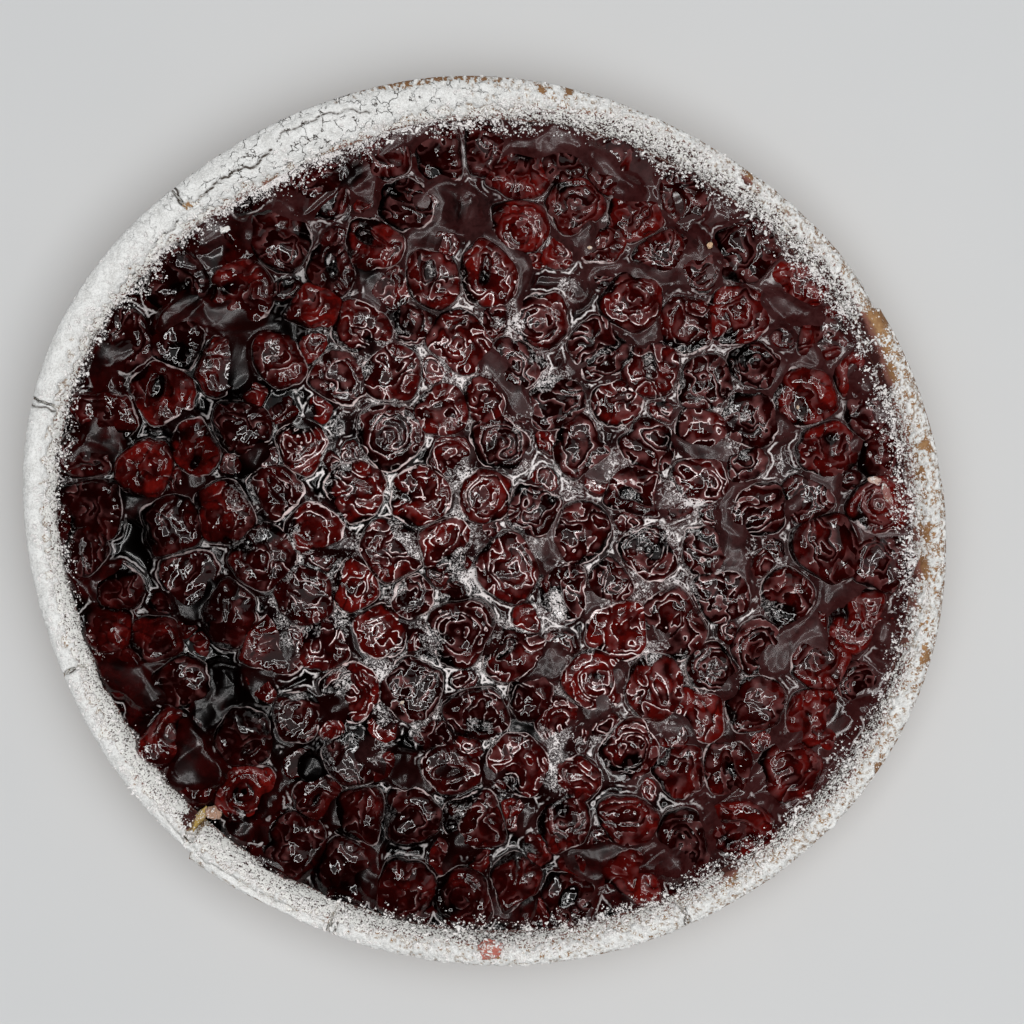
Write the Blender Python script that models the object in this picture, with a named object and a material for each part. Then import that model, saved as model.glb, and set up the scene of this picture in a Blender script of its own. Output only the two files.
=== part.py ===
"""An open cherry pie about 26 cm across, baked in a ring tin and turned out of it.

Two solids: the one-piece shortcrust case, and the set filling with the cherries that stand up out of it.
Metres, +Z up. The pie stands on z = 0 and its middle is on the Z axis.
"""

import math
import random

import bmesh
import bpy
from mathutils import Matrix, Vector

MM = 0.001

# Driving dimensions
EDGE_RADIUS = 130 * MM  # mean radius of the outer edge
RIM_HEIGHT = 31.5 * MM  # top of the rim over the table
RIM_WIDTH = 9.5 * MM  # from the outer edge to where the filling starts
BASE_THICKNESS = 5.5 * MM
FILLING_LEVEL = 24.5 * MM  # the set juice between the cherries
CHERRY_STAND = 5 * MM  # how far a full-size cherry stands out of the juice
CHERRY_LENGTH = 17 * MM  # of a full-size pitted cherry
CLEARANCE = 0.4 * MM  # between the filling and the crust

CRUST_STEPS = 78  # sides of the crust's ring
FILLING_STEPS = 76  # sides of the filling's disc
CHERRY_STEPS = 7  # sides of a cherry

# The tin was pushed out of round: (waves round the edge, share of the radius, turn of the first crest)
EDGE_WAVES = (
    (2, 0.0288, math.radians(-22.9)),
    (4, 0.0047, math.radians(-15.9)),
    (5, 0.0032, math.radians(19.5)),
    (6, 0.0035, math.radians(-23.1)),
)
# Where the edge steps out past a break: (angle, how far out, how far round it fades)
EDGE_STEPS = (
    (math.radians(28.5), -1.5 * MM, math.radians(9)),
    (math.radians(228.5), 1.8 * MM, math.radians(14)),
)
WIDE_RIM_ANGLE = math.radians(115)  # the rim is widest here
WIDE_RIM_EXTRA = 4 * MM
LIP_FROM, LIP_TO = math.radians(228), math.radians(249)  # the edge is split into two lips here

# Breaks in the rim: (angle, width at the top, inner end and outer end as insets from the edge, depth)
RIM_BREAKS = (
    (math.radians(133.5), 1.6 * MM, 6.5 * MM, -3 * MM, 5 * MM),
    (math.radians(164.9), 1.4 * MM, 8.5 * MM, -3 * MM, 4 * MM),
    (math.radians(199.8), 2.0 * MM, 9 * MM, -3 * MM, 4.5 * MM),
    (math.radians(226.7), 3.6 * MM, 12.5 * MM, 3 * MM, 6 * MM),
    (math.radians(248.9), 1.8 * MM, 9 * MM, -3 * MM, 5 * MM),
    (math.radians(296.9), 1.6 * MM, 9.5 * MM, -3 * MM, 3.5 * MM),
)

# The cherries that stand out, in millimetres and degrees: x, y, length, width, turn of the length.
# The rest are packed between them.
KEY_CHERRIES = (
    (7, -12, 22, 16, 125),
    (4, 23, 19, 15, 80),
    (27, 21, 23, 12, 120),
    (-28, 25, 19, 17, 100),
    (46, -9, 16, 15, 0),
    (98, -8, 21, 18, 95),
    (-7, -31, 19, 17, 90),
    (-71, 67, 20, 18, 100),
    (-49, 97, 20, 14, 5),
    (-22, -85, 15, 14, 30),
    (-50, 62, 18, 10, 170),
    (10, 84, 18, 16, 130),
    (73, 60, 19, 17, 20),
    (79, 4, 20, 13, 10),
    (65, -8, 15, 14, 0),
    (106, -28, 20, 16, 60),
    (88, -22, 23, 13, 95),
    (96, -57, 17, 17, 0),
    (86, -72, 19, 15, 30),
    (72, -88, 20, 13, 10),
    (57, -92, 16, 15, 90),
    (41, -87, 19, 14, 5),
    (23, -89, 17, 15, 90),
    (-2, -87, 19, 17, 20),
    (-39, -69, 18, 15, 100),
    (-54, -57, 15, 13, 30),
    (-89, -46, 18, 14, 150),
    (-61, -36, 17, 16, 60),
    (-95, -34, 19, 12, 5),
    (-91, -1, 20, 14, 115),
    (-97, 15, 18, 14, 160),
    (-70, 27, 18, 17, 45),
    (-54, 22, 17, 14, 90),
    (-38, 10, 18, 14, 100),
    (-50, -2, 15, 14, 90),
    (-27, -9, 17, 16, 120),
    (31, -46, 19, 17, 150),
    (56, -71, 17, 14, 80),
    (-12, 32, 14, 13, 90),
    (15, 57, 15, 14, 60),
    (47, 23, 15, 14, 40),
    (78, -36, 16, 15, 60),
    (97, -41, 15, 14, 120),
    (10, -70, 19, 15, 0),
    (-106, -19, 14, 12, 130),
    (51, 77, 16, 13, 10),
    (36, 102, 15, 13, 60),
    (-28, 105, 16, 11, 20),
)
# Places where only juice shows, in millimetres: x, y, radius
OPEN_JUICE = (
    (-8, 90, 9),
    (-73, -50, 8),
    (91, -36, 7),
    (-86, 30, 5),
    (27, 70, 7),
    (12, -60, 4),
    (-20, -70, 6),
    (63, 84, 4),
    (-50, -70, 4),
)
PACKED_LENGTHS = (18, 17, 16, 14.5, 13)  # tried in turn, in millimetres
PACKING_TRIES = 1500
PACKING_SEED = 7
PACKING_SQUEEZE = 0.89  # how close two cherries may lie, as a share of their mean widths

CRUST_COLOUR = (0.62, 0.36, 0.16, 1)
FILLING_COLOUR = (0.075, 0.008, 0.008, 1)


def near(angle, centre, spread):
    """1 at the centre angle, falling smoothly to 0 over the spread on each side."""
    away = abs((angle - centre + math.pi) % (2 * math.pi) - math.pi) / spread
    return 0.5 + 0.5 * math.cos(math.pi * away) if away < 1 else 0


def edge_radius(angle):
    """How far the outer edge is from the middle at this angle, without the steps."""
    waves = (share * math.cos(count * (angle - turn)) for count, share, turn in EDGE_WAVES)
    return EDGE_RADIUS * (1 + sum(waves))


def edge_step(angle):
    """How far the edge stands out past a break, fading away from the break on one side."""
    out = 0
    for centre, step, spread in EDGE_STEPS:
        past = (angle - centre + math.pi) % (2 * math.pi) - math.pi
        if 0 <= past < spread:
            out += step * (1 - past / spread)
    return out


def rim_width(angle):
    return RIM_WIDTH + WIDE_RIM_EXTRA * near(angle, WIDE_RIM_ANGLE, math.radians(60))


def rim_lift(angle):
    """How far the top of the rim is over or under its mean height, as the dough slumped in the oven."""
    return (0.5 * math.sin(3 * angle + 0.6) + 0.3 * math.sin(7 * angle) + 0.2 * math.sin(16 * angle)) * MM


def material(name, colour, roughness):
    made = bpy.data.materials.new(name)
    made.use_nodes = True
    shader = made.node_tree.nodes["Principled BSDF"]
    shader.inputs["Base Color"].default_value = colour
    shader.inputs["Roughness"].default_value = roughness
    shader.inputs["Metallic"].default_value = 0
    made.diffuse_color = colour
    return made


def new_object(name, bm, collection, finish=None):
    """Turns a bmesh into an object with outward faces."""
    bmesh.ops.recalc_face_normals(bm, faces=bm.faces[:])
    mesh = bpy.data.meshes.new(name)
    bm.to_mesh(mesh)
    bm.free()
    made = bpy.data.objects.new(name, mesh)
    if finish:
        mesh.materials.append(finish)
    collection.objects.link(made)
    return made


def crust_profile():
    """(inset from the edge, height) from the middle of the floor, over the rim and under to the middle."""
    rim = RIM_HEIGHT
    return (
        (EDGE_RADIUS, BASE_THICKNESS),
        (RIM_WIDTH + 4 * MM, BASE_THICKNESS),
        (RIM_WIDTH + 2.5 * MM, BASE_THICKNESS + 1.5 * MM),
        (RIM_WIDTH + 0.6 * MM, FILLING_LEVEL + 1 * MM),
        (RIM_WIDTH - 1.6 * MM, rim - 2.6 * MM),
        (RIM_WIDTH - 3.8 * MM, rim - 0.6 * MM),
        (3.6 * MM, rim),
        (1.6 * MM, rim - 0.9 * MM),
        (0.2 * MM, rim - 2.8 * MM),
        (0, rim - 5 * MM),
        (0.8 * MM, 18 * MM),
        (2 * MM, 8 * MM),
        (3 * MM, 2 * MM),
        (4.6 * MM, 0),
        (EDGE_RADIUS, 0),
    )


def shape_crust_point(point):
    """Moves a point of the round case to where the baked one has it."""
    radius = point.xy.length
    inset = EDGE_RADIUS - radius
    if inset > RIM_WIDTH + 5 * MM:
        return
    angle = math.atan2(point.y, point.x)
    if point.z > BASE_THICKNESS and inset > 1 * MM:
        inset *= rim_width(angle) / RIM_WIDTH
    top = max(0, (point.z - FILLING_LEVEL) / (RIM_HEIGHT - FILLING_LEVEL))
    lip = near(angle, (LIP_FROM + LIP_TO) / 2, (LIP_TO - LIP_FROM) / 1.6)
    groove = lip * near(inset, 2.2 * MM, 1.6 * MM) * top
    outer = max(0, 1 - inset / RIM_WIDTH)
    point.xy *= (edge_radius(angle) - inset + outer * edge_step(angle)) / radius
    point.z += top * rim_lift(angle) - 1.8 * MM * groove


def break_cutter(angle, width, inner, outer, depth, index, collection):
    """A wedge, point down, laid along a radius across the rim."""
    middle = edge_radius(angle) - (inner + outer) / 2
    bm = bmesh.new()
    lying = Matrix.Rotation(math.pi / 2, 4, "Y")
    length = inner - outer
    bmesh.ops.create_cone(bm, cap_ends=True, segments=3, radius1=1, radius2=1, depth=length, matrix=lying)
    lowest = min(vertex.co.z for vertex in bm.verts)
    highest = max(vertex.co.z for vertex in bm.verts)
    widest = max(vertex.co.y for vertex in bm.verts)
    over = 2 * MM
    for vertex in bm.verts:
        share = (vertex.co.z - lowest) / (highest - lowest)
        vertex.co.z = RIM_HEIGHT - depth + share * (depth + over)
        vertex.co.y *= width / 2 * (depth + over) / depth / widest
    bmesh.ops.transform(bm, matrix=Matrix.Translation((middle, 0, 0)), verts=bm.verts)
    bmesh.ops.rotate(bm, cent=(0, 0, 0), matrix=Matrix.Rotation(angle, 3, "Z"), verts=bm.verts)
    return new_object(f"rim_break_{index}", bm, collection)


def make_crust(parts, cutters):
    """Spins the case's section, pushes it out of round and opens the breaks in its rim."""
    bm = bmesh.new()
    section = [bm.verts.new((EDGE_RADIUS - inset, 0, height)) for inset, height in crust_profile()]
    edges = [bm.edges.new(pair) for pair in zip(section, section[1:])]
    turning = {"axis": (0, 0, 1), "cent": (0, 0, 0), "angle": 2 * math.pi, "steps": CRUST_STEPS}
    bmesh.ops.spin(bm, geom=section + edges, use_merge=True, **turning)
    bmesh.ops.remove_doubles(bm, verts=bm.verts[:], dist=0.01 * MM)
    for vertex in bm.verts:
        shape_crust_point(vertex.co)
    crust = new_object("crust", bm, parts, material("baked shortcrust", CRUST_COLOUR, 0.75))
    for index, (angle, width, inner, outer, depth) in enumerate(RIM_BREAKS):
        cut = crust.modifiers.new(f"break {index}", "BOOLEAN")
        cut.operation = "DIFFERENCE"
        cut.solver = "EXACT"
        cut.object = break_cutter(angle, width, inner, outer, depth, index, cutters)
    return crust


def filling_radius(angle):
    """Where the top of the filling meets the rim, less the clearance."""
    return edge_radius(angle) - (RIM_WIDTH + 0.7 * MM) * rim_width(angle) / RIM_WIDTH - CLEARANCE


def kept_inside(x, y, length, width, turn):
    """The cherry, pressed in from the rim as far as it has to be."""
    angle = math.atan2(y, x)
    reach = math.hypot(length / 2 * math.cos(turn - angle), width / 2 * math.sin(turn - angle))
    share = min(1, (filling_radius(angle) - reach) / math.hypot(x, y))
    return x * share, y * share, length, width, turn


def lay_cherries():
    """All the cherries as (x, y, length, width, turn): the chosen ones, then the largest that still fit."""
    chance = random.Random(PACKING_SEED)
    laid = [
        kept_inside(x * MM, y * MM, length * MM, width * MM, math.radians(turn))
        for x, y, length, width, turn in KEY_CHERRIES
    ]
    pools = [(x * MM, y * MM, radius * MM) for x, y, radius in OPEN_JUICE]
    for length in PACKED_LENGTHS:
        for _ in range(PACKING_TRIES):
            angle = chance.uniform(0, 2 * math.pi)
            away = math.sqrt(chance.random()) * filling_radius(angle)
            size = length * MM * chance.uniform(0.95, 1.05)
            wide = size * chance.uniform(0.76, 0.95)
            turn = chance.uniform(0, math.pi)
            cherry = kept_inside(away * math.cos(angle), away * math.sin(angle), size, wide, turn)
            x, y = cherry[:2]
            reach = (size + wide) / 4
            if any(math.hypot(x - px, y - py) < radius + 0.7 * reach for px, py, radius in pools):
                continue
            gaps = (math.hypot(x - cx, y - cy) / (reach + (cl + cw) / 4) for cx, cy, cl, cw, _ in laid)
            if min(gaps) > PACKING_SQUEEZE:
                laid.append(cherry)
    return laid


def make_cherries(helpers):
    """The upper parts of all the cherries, as one helper: squashed balls sunk in the juice."""
    bm = bmesh.new()
    for x, y, length, width, turn in lay_cherries():
        stand = CHERRY_STAND * (0.55 + 0.45 * length / CHERRY_LENGTH)
        sunk = 0.25 * stand
        ball = Matrix.Diagonal((length / 2, width / 2, stand + sunk, 1))
        place = Matrix.Translation((x, y, FILLING_LEVEL - sunk))
        shape = place @ Matrix.Rotation(turn, 4, "Z") @ ball
        bmesh.ops.create_uvsphere(bm, u_segments=CHERRY_STEPS, v_segments=6, radius=1, matrix=shape)
    return new_object("cherries", bm, helpers)


def make_filling(parts, helpers):
    """A disc of set juice that fills the case, joined with the cherries."""
    bm = bmesh.new()
    rim = bmesh.ops.create_circle(bm, cap_ends=True, segments=FILLING_STEPS, radius=1)["verts"]
    rim_edges = list({edge for vertex in rim for edge in vertex.link_edges})
    # The side leans in with the wall of the case, then turns under into the base.
    levels = (
        (0, FILLING_LEVEL),
        (2.2 * MM, BASE_THICKNESS + 2 * MM),
        (4.2 * MM, BASE_THICKNESS + CLEARANCE),
    )
    for inset, height in levels:
        for vertex in rim:
            angle = math.atan2(vertex.co.y, vertex.co.x)
            vertex.co = Vector((math.cos(angle), math.sin(angle), 0)) * (filling_radius(angle) - inset)
            vertex.co.z = height
        if height == levels[-1][1]:
            break
        grown = bmesh.ops.extrude_edge_only(bm, edges=rim_edges)["geom"]
        rim = [item for item in grown if isinstance(item, bmesh.types.BMVert)]
        rim_edges = [item for item in grown if isinstance(item, bmesh.types.BMEdge)]
    bmesh.ops.contextual_create(bm, geom=rim_edges)
    filling = new_object("cherry_filling", bm, parts, material("cherries in set juice", FILLING_COLOUR, 0.15))
    joined = filling.modifiers.new("cherries", "BOOLEAN")
    joined.operation = "UNION"
    joined.solver = "EXACT"
    joined.use_self = True
    joined.object = make_cherries(helpers)
    return filling


def main():
    for leftover in list(bpy.data.objects):
        bpy.data.objects.remove(leftover)
    parts = bpy.data.collections.new("cherry_pie")
    helpers = bpy.data.collections.new("cutters")
    for collection in (parts, helpers):
        bpy.context.scene.collection.children.link(collection)
    make_crust(parts, helpers)
    make_filling(parts, helpers)
    for helper in helpers.objects:
        helper.hide_render = True
        helper.display_type = "WIRE"


main()
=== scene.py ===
"""Looks for an open cherry pie: a shortcrust case, cherries in set juice, and icing sugar over the rim."""

import math
import random

import bmesh
import bpy
from mathutils import Matrix, Vector, geometry, kdtree, noise


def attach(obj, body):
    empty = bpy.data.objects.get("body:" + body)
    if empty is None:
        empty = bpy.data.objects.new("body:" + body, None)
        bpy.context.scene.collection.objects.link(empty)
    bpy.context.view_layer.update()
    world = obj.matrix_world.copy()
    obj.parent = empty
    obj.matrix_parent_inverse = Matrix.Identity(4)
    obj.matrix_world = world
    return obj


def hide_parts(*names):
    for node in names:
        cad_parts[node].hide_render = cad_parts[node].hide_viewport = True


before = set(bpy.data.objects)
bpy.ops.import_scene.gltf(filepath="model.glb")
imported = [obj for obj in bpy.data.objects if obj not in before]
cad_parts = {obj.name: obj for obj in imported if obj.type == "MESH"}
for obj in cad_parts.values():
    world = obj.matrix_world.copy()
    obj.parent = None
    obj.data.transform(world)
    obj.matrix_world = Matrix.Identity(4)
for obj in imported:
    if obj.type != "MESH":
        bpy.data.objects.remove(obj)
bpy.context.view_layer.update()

MM = 0.001

# ----------------------------------------------------------------------------------------------------------
# The shortcrust case.
# One piece of rolled shortcrust, pressed into a ring tin, trimmed along the tin's edge and baked. The tin was
# pushed out of round, so the outline is an uneven oval, and the rim slumped and cracked in the oven.
# ----------------------------------------------------------------------------------------------------------

EDGE_RADIUS = 130 * MM  # mean radius of the outer edge
RIM_HEIGHT = 31.5 * MM  # top of the rim over the table
RIM_WIDTH = 9.5 * MM  # from the outer edge to where the filling starts
BASE_THICKNESS = 5.5 * MM
FILLING_LEVEL = 24.5 * MM  # the set juice between the cherries
CRUST_STEPS = 900  # points round the case
RIM_SPACING = 0.6 * MM  # between the points of the section, on the rim and the side
HIDDEN_SPACING = 6 * MM  # the same where the filling or the table hides it
# (waves round the edge, share of the radius, turn of the first crest)
EDGE_WAVES = (
    (2, 0.0288, math.radians(-22.9)),
    (4, 0.0047, math.radians(-15.9)),
    (5, 0.0032, math.radians(19.5)),
    (6, 0.0035, math.radians(-23.1)),
)
# Where the edge steps out past a break: (angle, how far out, how far round it fades)
EDGE_STEPS = (
    (math.radians(28.5), -1.5 * MM, math.radians(9)),
    (math.radians(228.5), 1.8 * MM, math.radians(14)),
)
WIDE_RIM_ANGLE = math.radians(115)
WIDE_RIM_EXTRA = 4 * MM
LIP_FROM, LIP_TO = math.radians(228), math.radians(249)  # the edge is split into two lips here
# Breaks in the rim: (angle, width at the top, inner end and outer end as insets from the edge, depth)
RIM_BREAKS = (
    (math.radians(133.5), 0.7 * MM, 6.5 * MM, -3 * MM, 2 * MM),
    (math.radians(164.9), 0.8 * MM, 8.5 * MM, -3 * MM, 2.4 * MM),
    (math.radians(199.8), 0.8 * MM, 9 * MM, -3 * MM, 2.2 * MM),
    (math.radians(226.7), 3.6 * MM, 12.5 * MM, 3 * MM, 6 * MM),
    (math.radians(248.9), 1.1 * MM, 9 * MM, -3 * MM, 4 * MM),
    (math.radians(296.9), 1.0 * MM, 9.5 * MM, -3 * MM, 2.8 * MM),
)
GATHER_SPREAD = math.radians(2.5)  # how far round a break draws the mesh's points towards itself
GATHER_SHARE = 0.6
# The case's section, as (inset from the edge, height): the hidden inside, the rim and the side, the underside
INNER_SECTION = (
    (EDGE_RADIUS - 2 * MM, BASE_THICKNESS),
    (RIM_WIDTH + 4 * MM, BASE_THICKNESS),
    (RIM_WIDTH + 2.5 * MM, BASE_THICKNESS + 1.5 * MM),
    (RIM_WIDTH + 0.6 * MM, FILLING_LEVEL + 1 * MM),
)
RIM_SECTION = (
    (RIM_WIDTH + 0.6 * MM, FILLING_LEVEL + 1 * MM),
    (RIM_WIDTH - 1.6 * MM, RIM_HEIGHT - 2.6 * MM),
    (RIM_WIDTH - 3.8 * MM, RIM_HEIGHT - 0.6 * MM),
    (3.6 * MM, RIM_HEIGHT),
    (1.6 * MM, RIM_HEIGHT - 0.9 * MM),
    (0.2 * MM, RIM_HEIGHT - 2.8 * MM),
    (0, RIM_HEIGHT - 5 * MM),
)
SIDE_SECTION = (
    (0, RIM_HEIGHT - 5 * MM),
    (0.8 * MM, 18 * MM),
    (2 * MM, 8 * MM),
    (3 * MM, 2 * MM),
    (4.6 * MM, 0),
)
UNDER_SECTION = ((4.6 * MM, 0), (EDGE_RADIUS - 2 * MM, 0))
# A place inside the rim that its surface faces away from: inset and height
RIM_CORE = Vector((5 * MM, 20 * MM))

BAKED = (0.46, 0.255, 0.11)
BAKED_DARK = (0.22, 0.108, 0.045)
BAKED_PALE = (0.60, 0.385, 0.19)
STAINED = (0.21, 0.085, 0.065)  # by the juice that boiled over it
SOAKED = (0.045, 0.010, 0.009)
CRUMB_INSIDE = (0.22, 0.13, 0.055)  # in the breaks
DUSTED = (0.78, 0.77, 0.73)  # with a breath of icing sugar on it


def near(value, centre, spread):
    """1 at the centre, falling smoothly to 0 over the spread on each side."""
    away = abs(value - centre) / spread
    return 0.5 + 0.5 * math.cos(math.pi * away) if away < 1 else 0


def turned_from(angle, start):
    """How far round the angle is from the start, from minus half a turn to half a turn."""
    return (angle - start + math.pi) % (2 * math.pi) - math.pi


def clamped(value, low=0, high=1):
    return max(low, min(high, value))


def smooth_step(value, low, high):
    """0 up to low, 1 from high on, and smooth between them. It falls instead if low is over high."""
    share = clamped((value - low) / (high - low))
    return share * share * (3 - 2 * share)


def edge_radius(angle):
    waves = (share * math.cos(count * (angle - turn)) for count, share, turn in EDGE_WAVES)
    return EDGE_RADIUS * (1 + sum(waves))


def edge_step(angle):
    out = 0
    for centre, step, spread in EDGE_STEPS:
        past = turned_from(angle, centre)
        if 0 <= past < spread:
            out += step * (1 - past / spread)
    return out


def rim_width(angle):
    return RIM_WIDTH + WIDE_RIM_EXTRA * near(turned_from(angle, WIDE_RIM_ANGLE), 0, math.radians(60))


def rim_lift(angle):
    """How far the top of the rim is over or under its mean height, as the dough slumped."""
    return (0.5 * math.sin(3 * angle + 0.6) + 0.3 * math.sin(7 * angle) + 0.2 * math.sin(16 * angle)) * MM


def gathered(angle):
    """Draws the angle towards the nearest break, so that the mesh has points enough to show it."""
    for centre, *_ in RIM_BREAKS:
        away = turned_from(angle, centre)
        angle -= GATHER_SHARE * away * math.exp(-((away / GATHER_SPREAD) ** 2))
    return angle


def break_depth(angle, inset):
    """How deep the rim is broken open here, down from its top."""
    deepest = 0
    for centre, width, inner, outer, depth in RIM_BREAKS:
        away = turned_from(angle, centre)
        if abs(away) > math.radians(4):
            continue
        wander = 0.9 * MM * noise.noise((inset / (2.2 * MM), centre * 9, 0))
        across = abs(away * EDGE_RADIUS + wander) / (width / 2)
        along = smooth_step(inset, inner + 0.5 * MM, inner - 2 * MM)
        along *= smooth_step(inset, outer - 1 * MM, outer)
        deepest = max(deepest, depth * clamped(1.15 - across) * along)
    return deepest


def section_points(section, spacing):
    """A smooth line through the section's points, as points about this far apart."""
    knots = [Vector(point) for point in section]
    knots = [2 * knots[0] - knots[1], *knots, 2 * knots[-1] - knots[-2]]
    line = [knots[1]]
    for before, start, end, after in zip(knots, knots[1:], knots[2:], knots[3:]):
        length = (end - start).length
        count = max(2, round(length / spacing) + 1)
        pull = length / max((end - before).length, (after - start).length)
        handles = start + (end - before) * pull / 3, end - (after - start) * pull / 3
        line += geometry.interpolate_bezier(start, *handles, end, count)[1:]
    return [point.to_2d() for point in line]


def placed(inset, height, angle):
    """The point of the baked case that this place on the section comes to at this angle."""
    stretched = inset
    if height > BASE_THICKNESS and inset > 1 * MM:
        stretched *= rim_width(angle) / RIM_WIDTH
    top = clamped((height - FILLING_LEVEL) / (RIM_HEIGHT - FILLING_LEVEL))
    lip = near(turned_from(angle, (LIP_FROM + LIP_TO) / 2), 0, (LIP_TO - LIP_FROM) / 1.6)
    groove = lip * near(stretched, 2.2 * MM, 1.6 * MM) * top
    outer = max(0, 1 - stretched / RIM_WIDTH)
    radius = edge_radius(angle) - stretched + outer * edge_step(angle)
    height += top * (rim_lift(angle) - break_depth(angle, stretched)) - 1.8 * MM * groove
    return Vector((radius * math.cos(angle), radius * math.sin(angle), height))


def ring_mesh(section, steps, closed):
    """A ring of points for each point of the section, sewn into one skin. A closed one meets itself, and one
    that isn't gets a cap at each end."""
    bm = bmesh.new()
    bmesh.ops.create_circle(bm, segments=steps, radius=1)
    first = edges = bm.edges[:]
    number = bm.verts.layers.int.new("section_point")
    for index in range(1, len(section)):
        grown = bmesh.ops.extrude_edge_only(bm, edges=edges)["geom"]
        edges = [item for item in grown if isinstance(item, bmesh.types.BMEdge)]
        for item in grown:
            if isinstance(item, bmesh.types.BMVert):
                item[number] = index
    if closed:
        bmesh.ops.bridge_loops(bm, edges=first + edges)
    else:
        bmesh.ops.contextual_create(bm, geom=first)
        bmesh.ops.contextual_create(bm, geom=edges)
    return bm, number


def finish_piece(name, bm, material, node=None):
    """Makes the mesh a smooth piece of the pie, with its faces outwards, in place of that CAD node."""
    bmesh.ops.recalc_face_normals(bm, faces=bm.faces[:])
    mesh = bpy.data.meshes.new(name)
    bm.to_mesh(mesh)
    bm.free()
    mesh.shade_smooth()
    mesh.materials.append(material)
    piece = bpy.data.objects.new(name, mesh)
    bpy.context.scene.collection.objects.link(piece)
    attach(piece, "root")
    if node:
        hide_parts(node)


class Wire:
    """A socket that shader maths can be written with."""

    def __init__(self, shading, socket):
        self.shading = shading
        self.socket = socket

    def __add__(self, other):
        return self.shading.math("ADD", self, other)

    def __sub__(self, other):
        return self.shading.math("SUBTRACT", self, other)

    def __rsub__(self, other):
        return self.shading.math("SUBTRACT", other, self)

    def __mul__(self, other):
        return self.shading.math("MULTIPLY", self, other)

    def __truediv__(self, other):
        return self.shading.math("DIVIDE", self, other)

    def __abs__(self):
        return self.shading.math("ABSOLUTE", self)

    def between(self, low, high):
        """0 up to low, 1 from high on, and smooth between them."""
        settings = {"interpolation_type": "SMOOTHSTEP"}
        sockets = {"Value": self, "From Min": low, "From Max": high}
        return self.shading.add("ShaderNodeMapRange", settings, sockets)


class Shading:
    """The nodes of one material round its Principled shader."""

    def __init__(self, name, **constants):
        self.material = bpy.data.materials.new(name)
        self.material.use_nodes = True
        self.tree = self.material.node_tree
        self.shader = self.tree.nodes["Principled BSDF"]
        for socket, value in constants.items():
            self.shader.inputs[socket.replace("_", " ")].default_value = value
        self.place = self.add("ShaderNodeTexCoord", output="Object")

    def add(self, kind, settings=None, sockets=None, output=0):
        """A new node: its settings are set first, then its sockets are given values or joined to wires."""
        node = self.tree.nodes.new(kind)
        for name, value in (settings or {}).items():
            setattr(node, name, value)
        for name, value in (sockets or {}).items():
            self.fill(node.inputs[name], value)
        return Wire(self, node.outputs[output])

    def fill(self, socket, value):
        if isinstance(value, Wire):
            self.tree.links.new(value.socket, socket)
        elif isinstance(value, tuple) and len(value) == 3 and len(socket.default_value) == 4:
            socket.default_value = (*value, 1)
        else:
            socket.default_value = value

    def math(self, operation, *values):
        return self.add("ShaderNodeMath", {"operation": operation}, dict(enumerate(values)))

    def noise(self, size, detail=2, roughness=0.5, distortion=0, output=0):
        """Cloudy noise, whose lumps are about this far across in metres."""
        values = {"Scale": 1 / size, "Detail": detail, "Roughness": roughness, "Distortion": distortion}
        return self.add("ShaderNodeTexNoise", None, {"Vector": self.place, **values}, output)

    def warped(self, reach, size):
        """The place, pushed about by up to this reach by noise of this size."""
        push = self.noise(size, 2, 0.5, output=1)
        centred = self.add("ShaderNodeVectorMath", {"operation": "SUBTRACT"}, {0: push, 1: (0.5, 0.5, 0.5)})
        settings = {"operation": "MULTIPLY_ADD"}
        return self.add("ShaderNodeVectorMath", settings, {0: centred, 1: (reach * 2,) * 3, 2: self.place})

    def attribute(self, name):
        return self.add("ShaderNodeAttribute", {"attribute_name": name}, output="Fac")

    def mix(self, share, first, second):
        """A colour between two colours."""
        return self.add("ShaderNodeMix", {"data_type": "RGBA"}, {0: share, 6: first, 7: second}, 2)

    def bump(self, height, distance, normal=None):
        sockets = {"Height": height, "Distance": distance}
        if normal:
            sockets["Normal"] = normal
        return self.add("ShaderNodeBump", None, sockets)

    def finish(self, **wires):
        for socket, value in wires.items():
            self.fill(self.shader.inputs[socket.replace("_", " ")], value)
        return self.material


def crust_material():
    shading = Shading("baked_shortcrust", Roughness=0.75, IOR=1.45, Specular_IOR_Level=0.3)
    broad = shading.noise(14 * MM, 4, 0.6)
    fine = shading.noise(1.6 * MM, 4, 0.65)
    grain = shading.noise(0.5 * MM, 3, 0.6)
    colour = shading.mix((broad + fine * 0.4).between(0.55, 0.85), BAKED_PALE, BAKED)
    toasted = shading.attribute("toasted")
    colour = shading.mix((toasted * 0.8 + fine * 0.7 - 0.25).between(0.1, 0.9), colour, BAKED_DARK)
    # Pits, pressed in by the bump below and painted darker: painted shade in them.
    pits = shading.add("ShaderNodeTexVoronoi", None, {"Vector": shading.place, "Scale": 1 / (2.3 * MM)})
    pit = 1 - pits.between(0.1, 0.32)
    colour = shading.mix(pit * 0.55, colour, BAKED_DARK)
    stain = shading.attribute("stained")
    colour = shading.mix((stain + (fine - 0.5) * 0.9).between(0.3, 0.8), colour, STAINED)
    colour = shading.mix((stain + (fine - 0.5) * 0.6).between(0.75, 1.15), colour, SOAKED)
    colour = shading.mix(shading.attribute("broken").between(0.1, 0.7), colour, CRUMB_INSIDE)
    dust = (shading.attribute("dusted") + (grain - 0.5) * 1.7 + (fine - 0.5) * 0.8).between(0.48, 0.62)
    colour = shading.mix(dust, colour, DUSTED)
    relief = shading.bump(fine * 0.7 + grain * 0.3 - pit * 0.5 + dust * 0.3, 0.35 * MM)
    return shading.finish(Base_Color=colour, Normal=relief)


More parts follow.
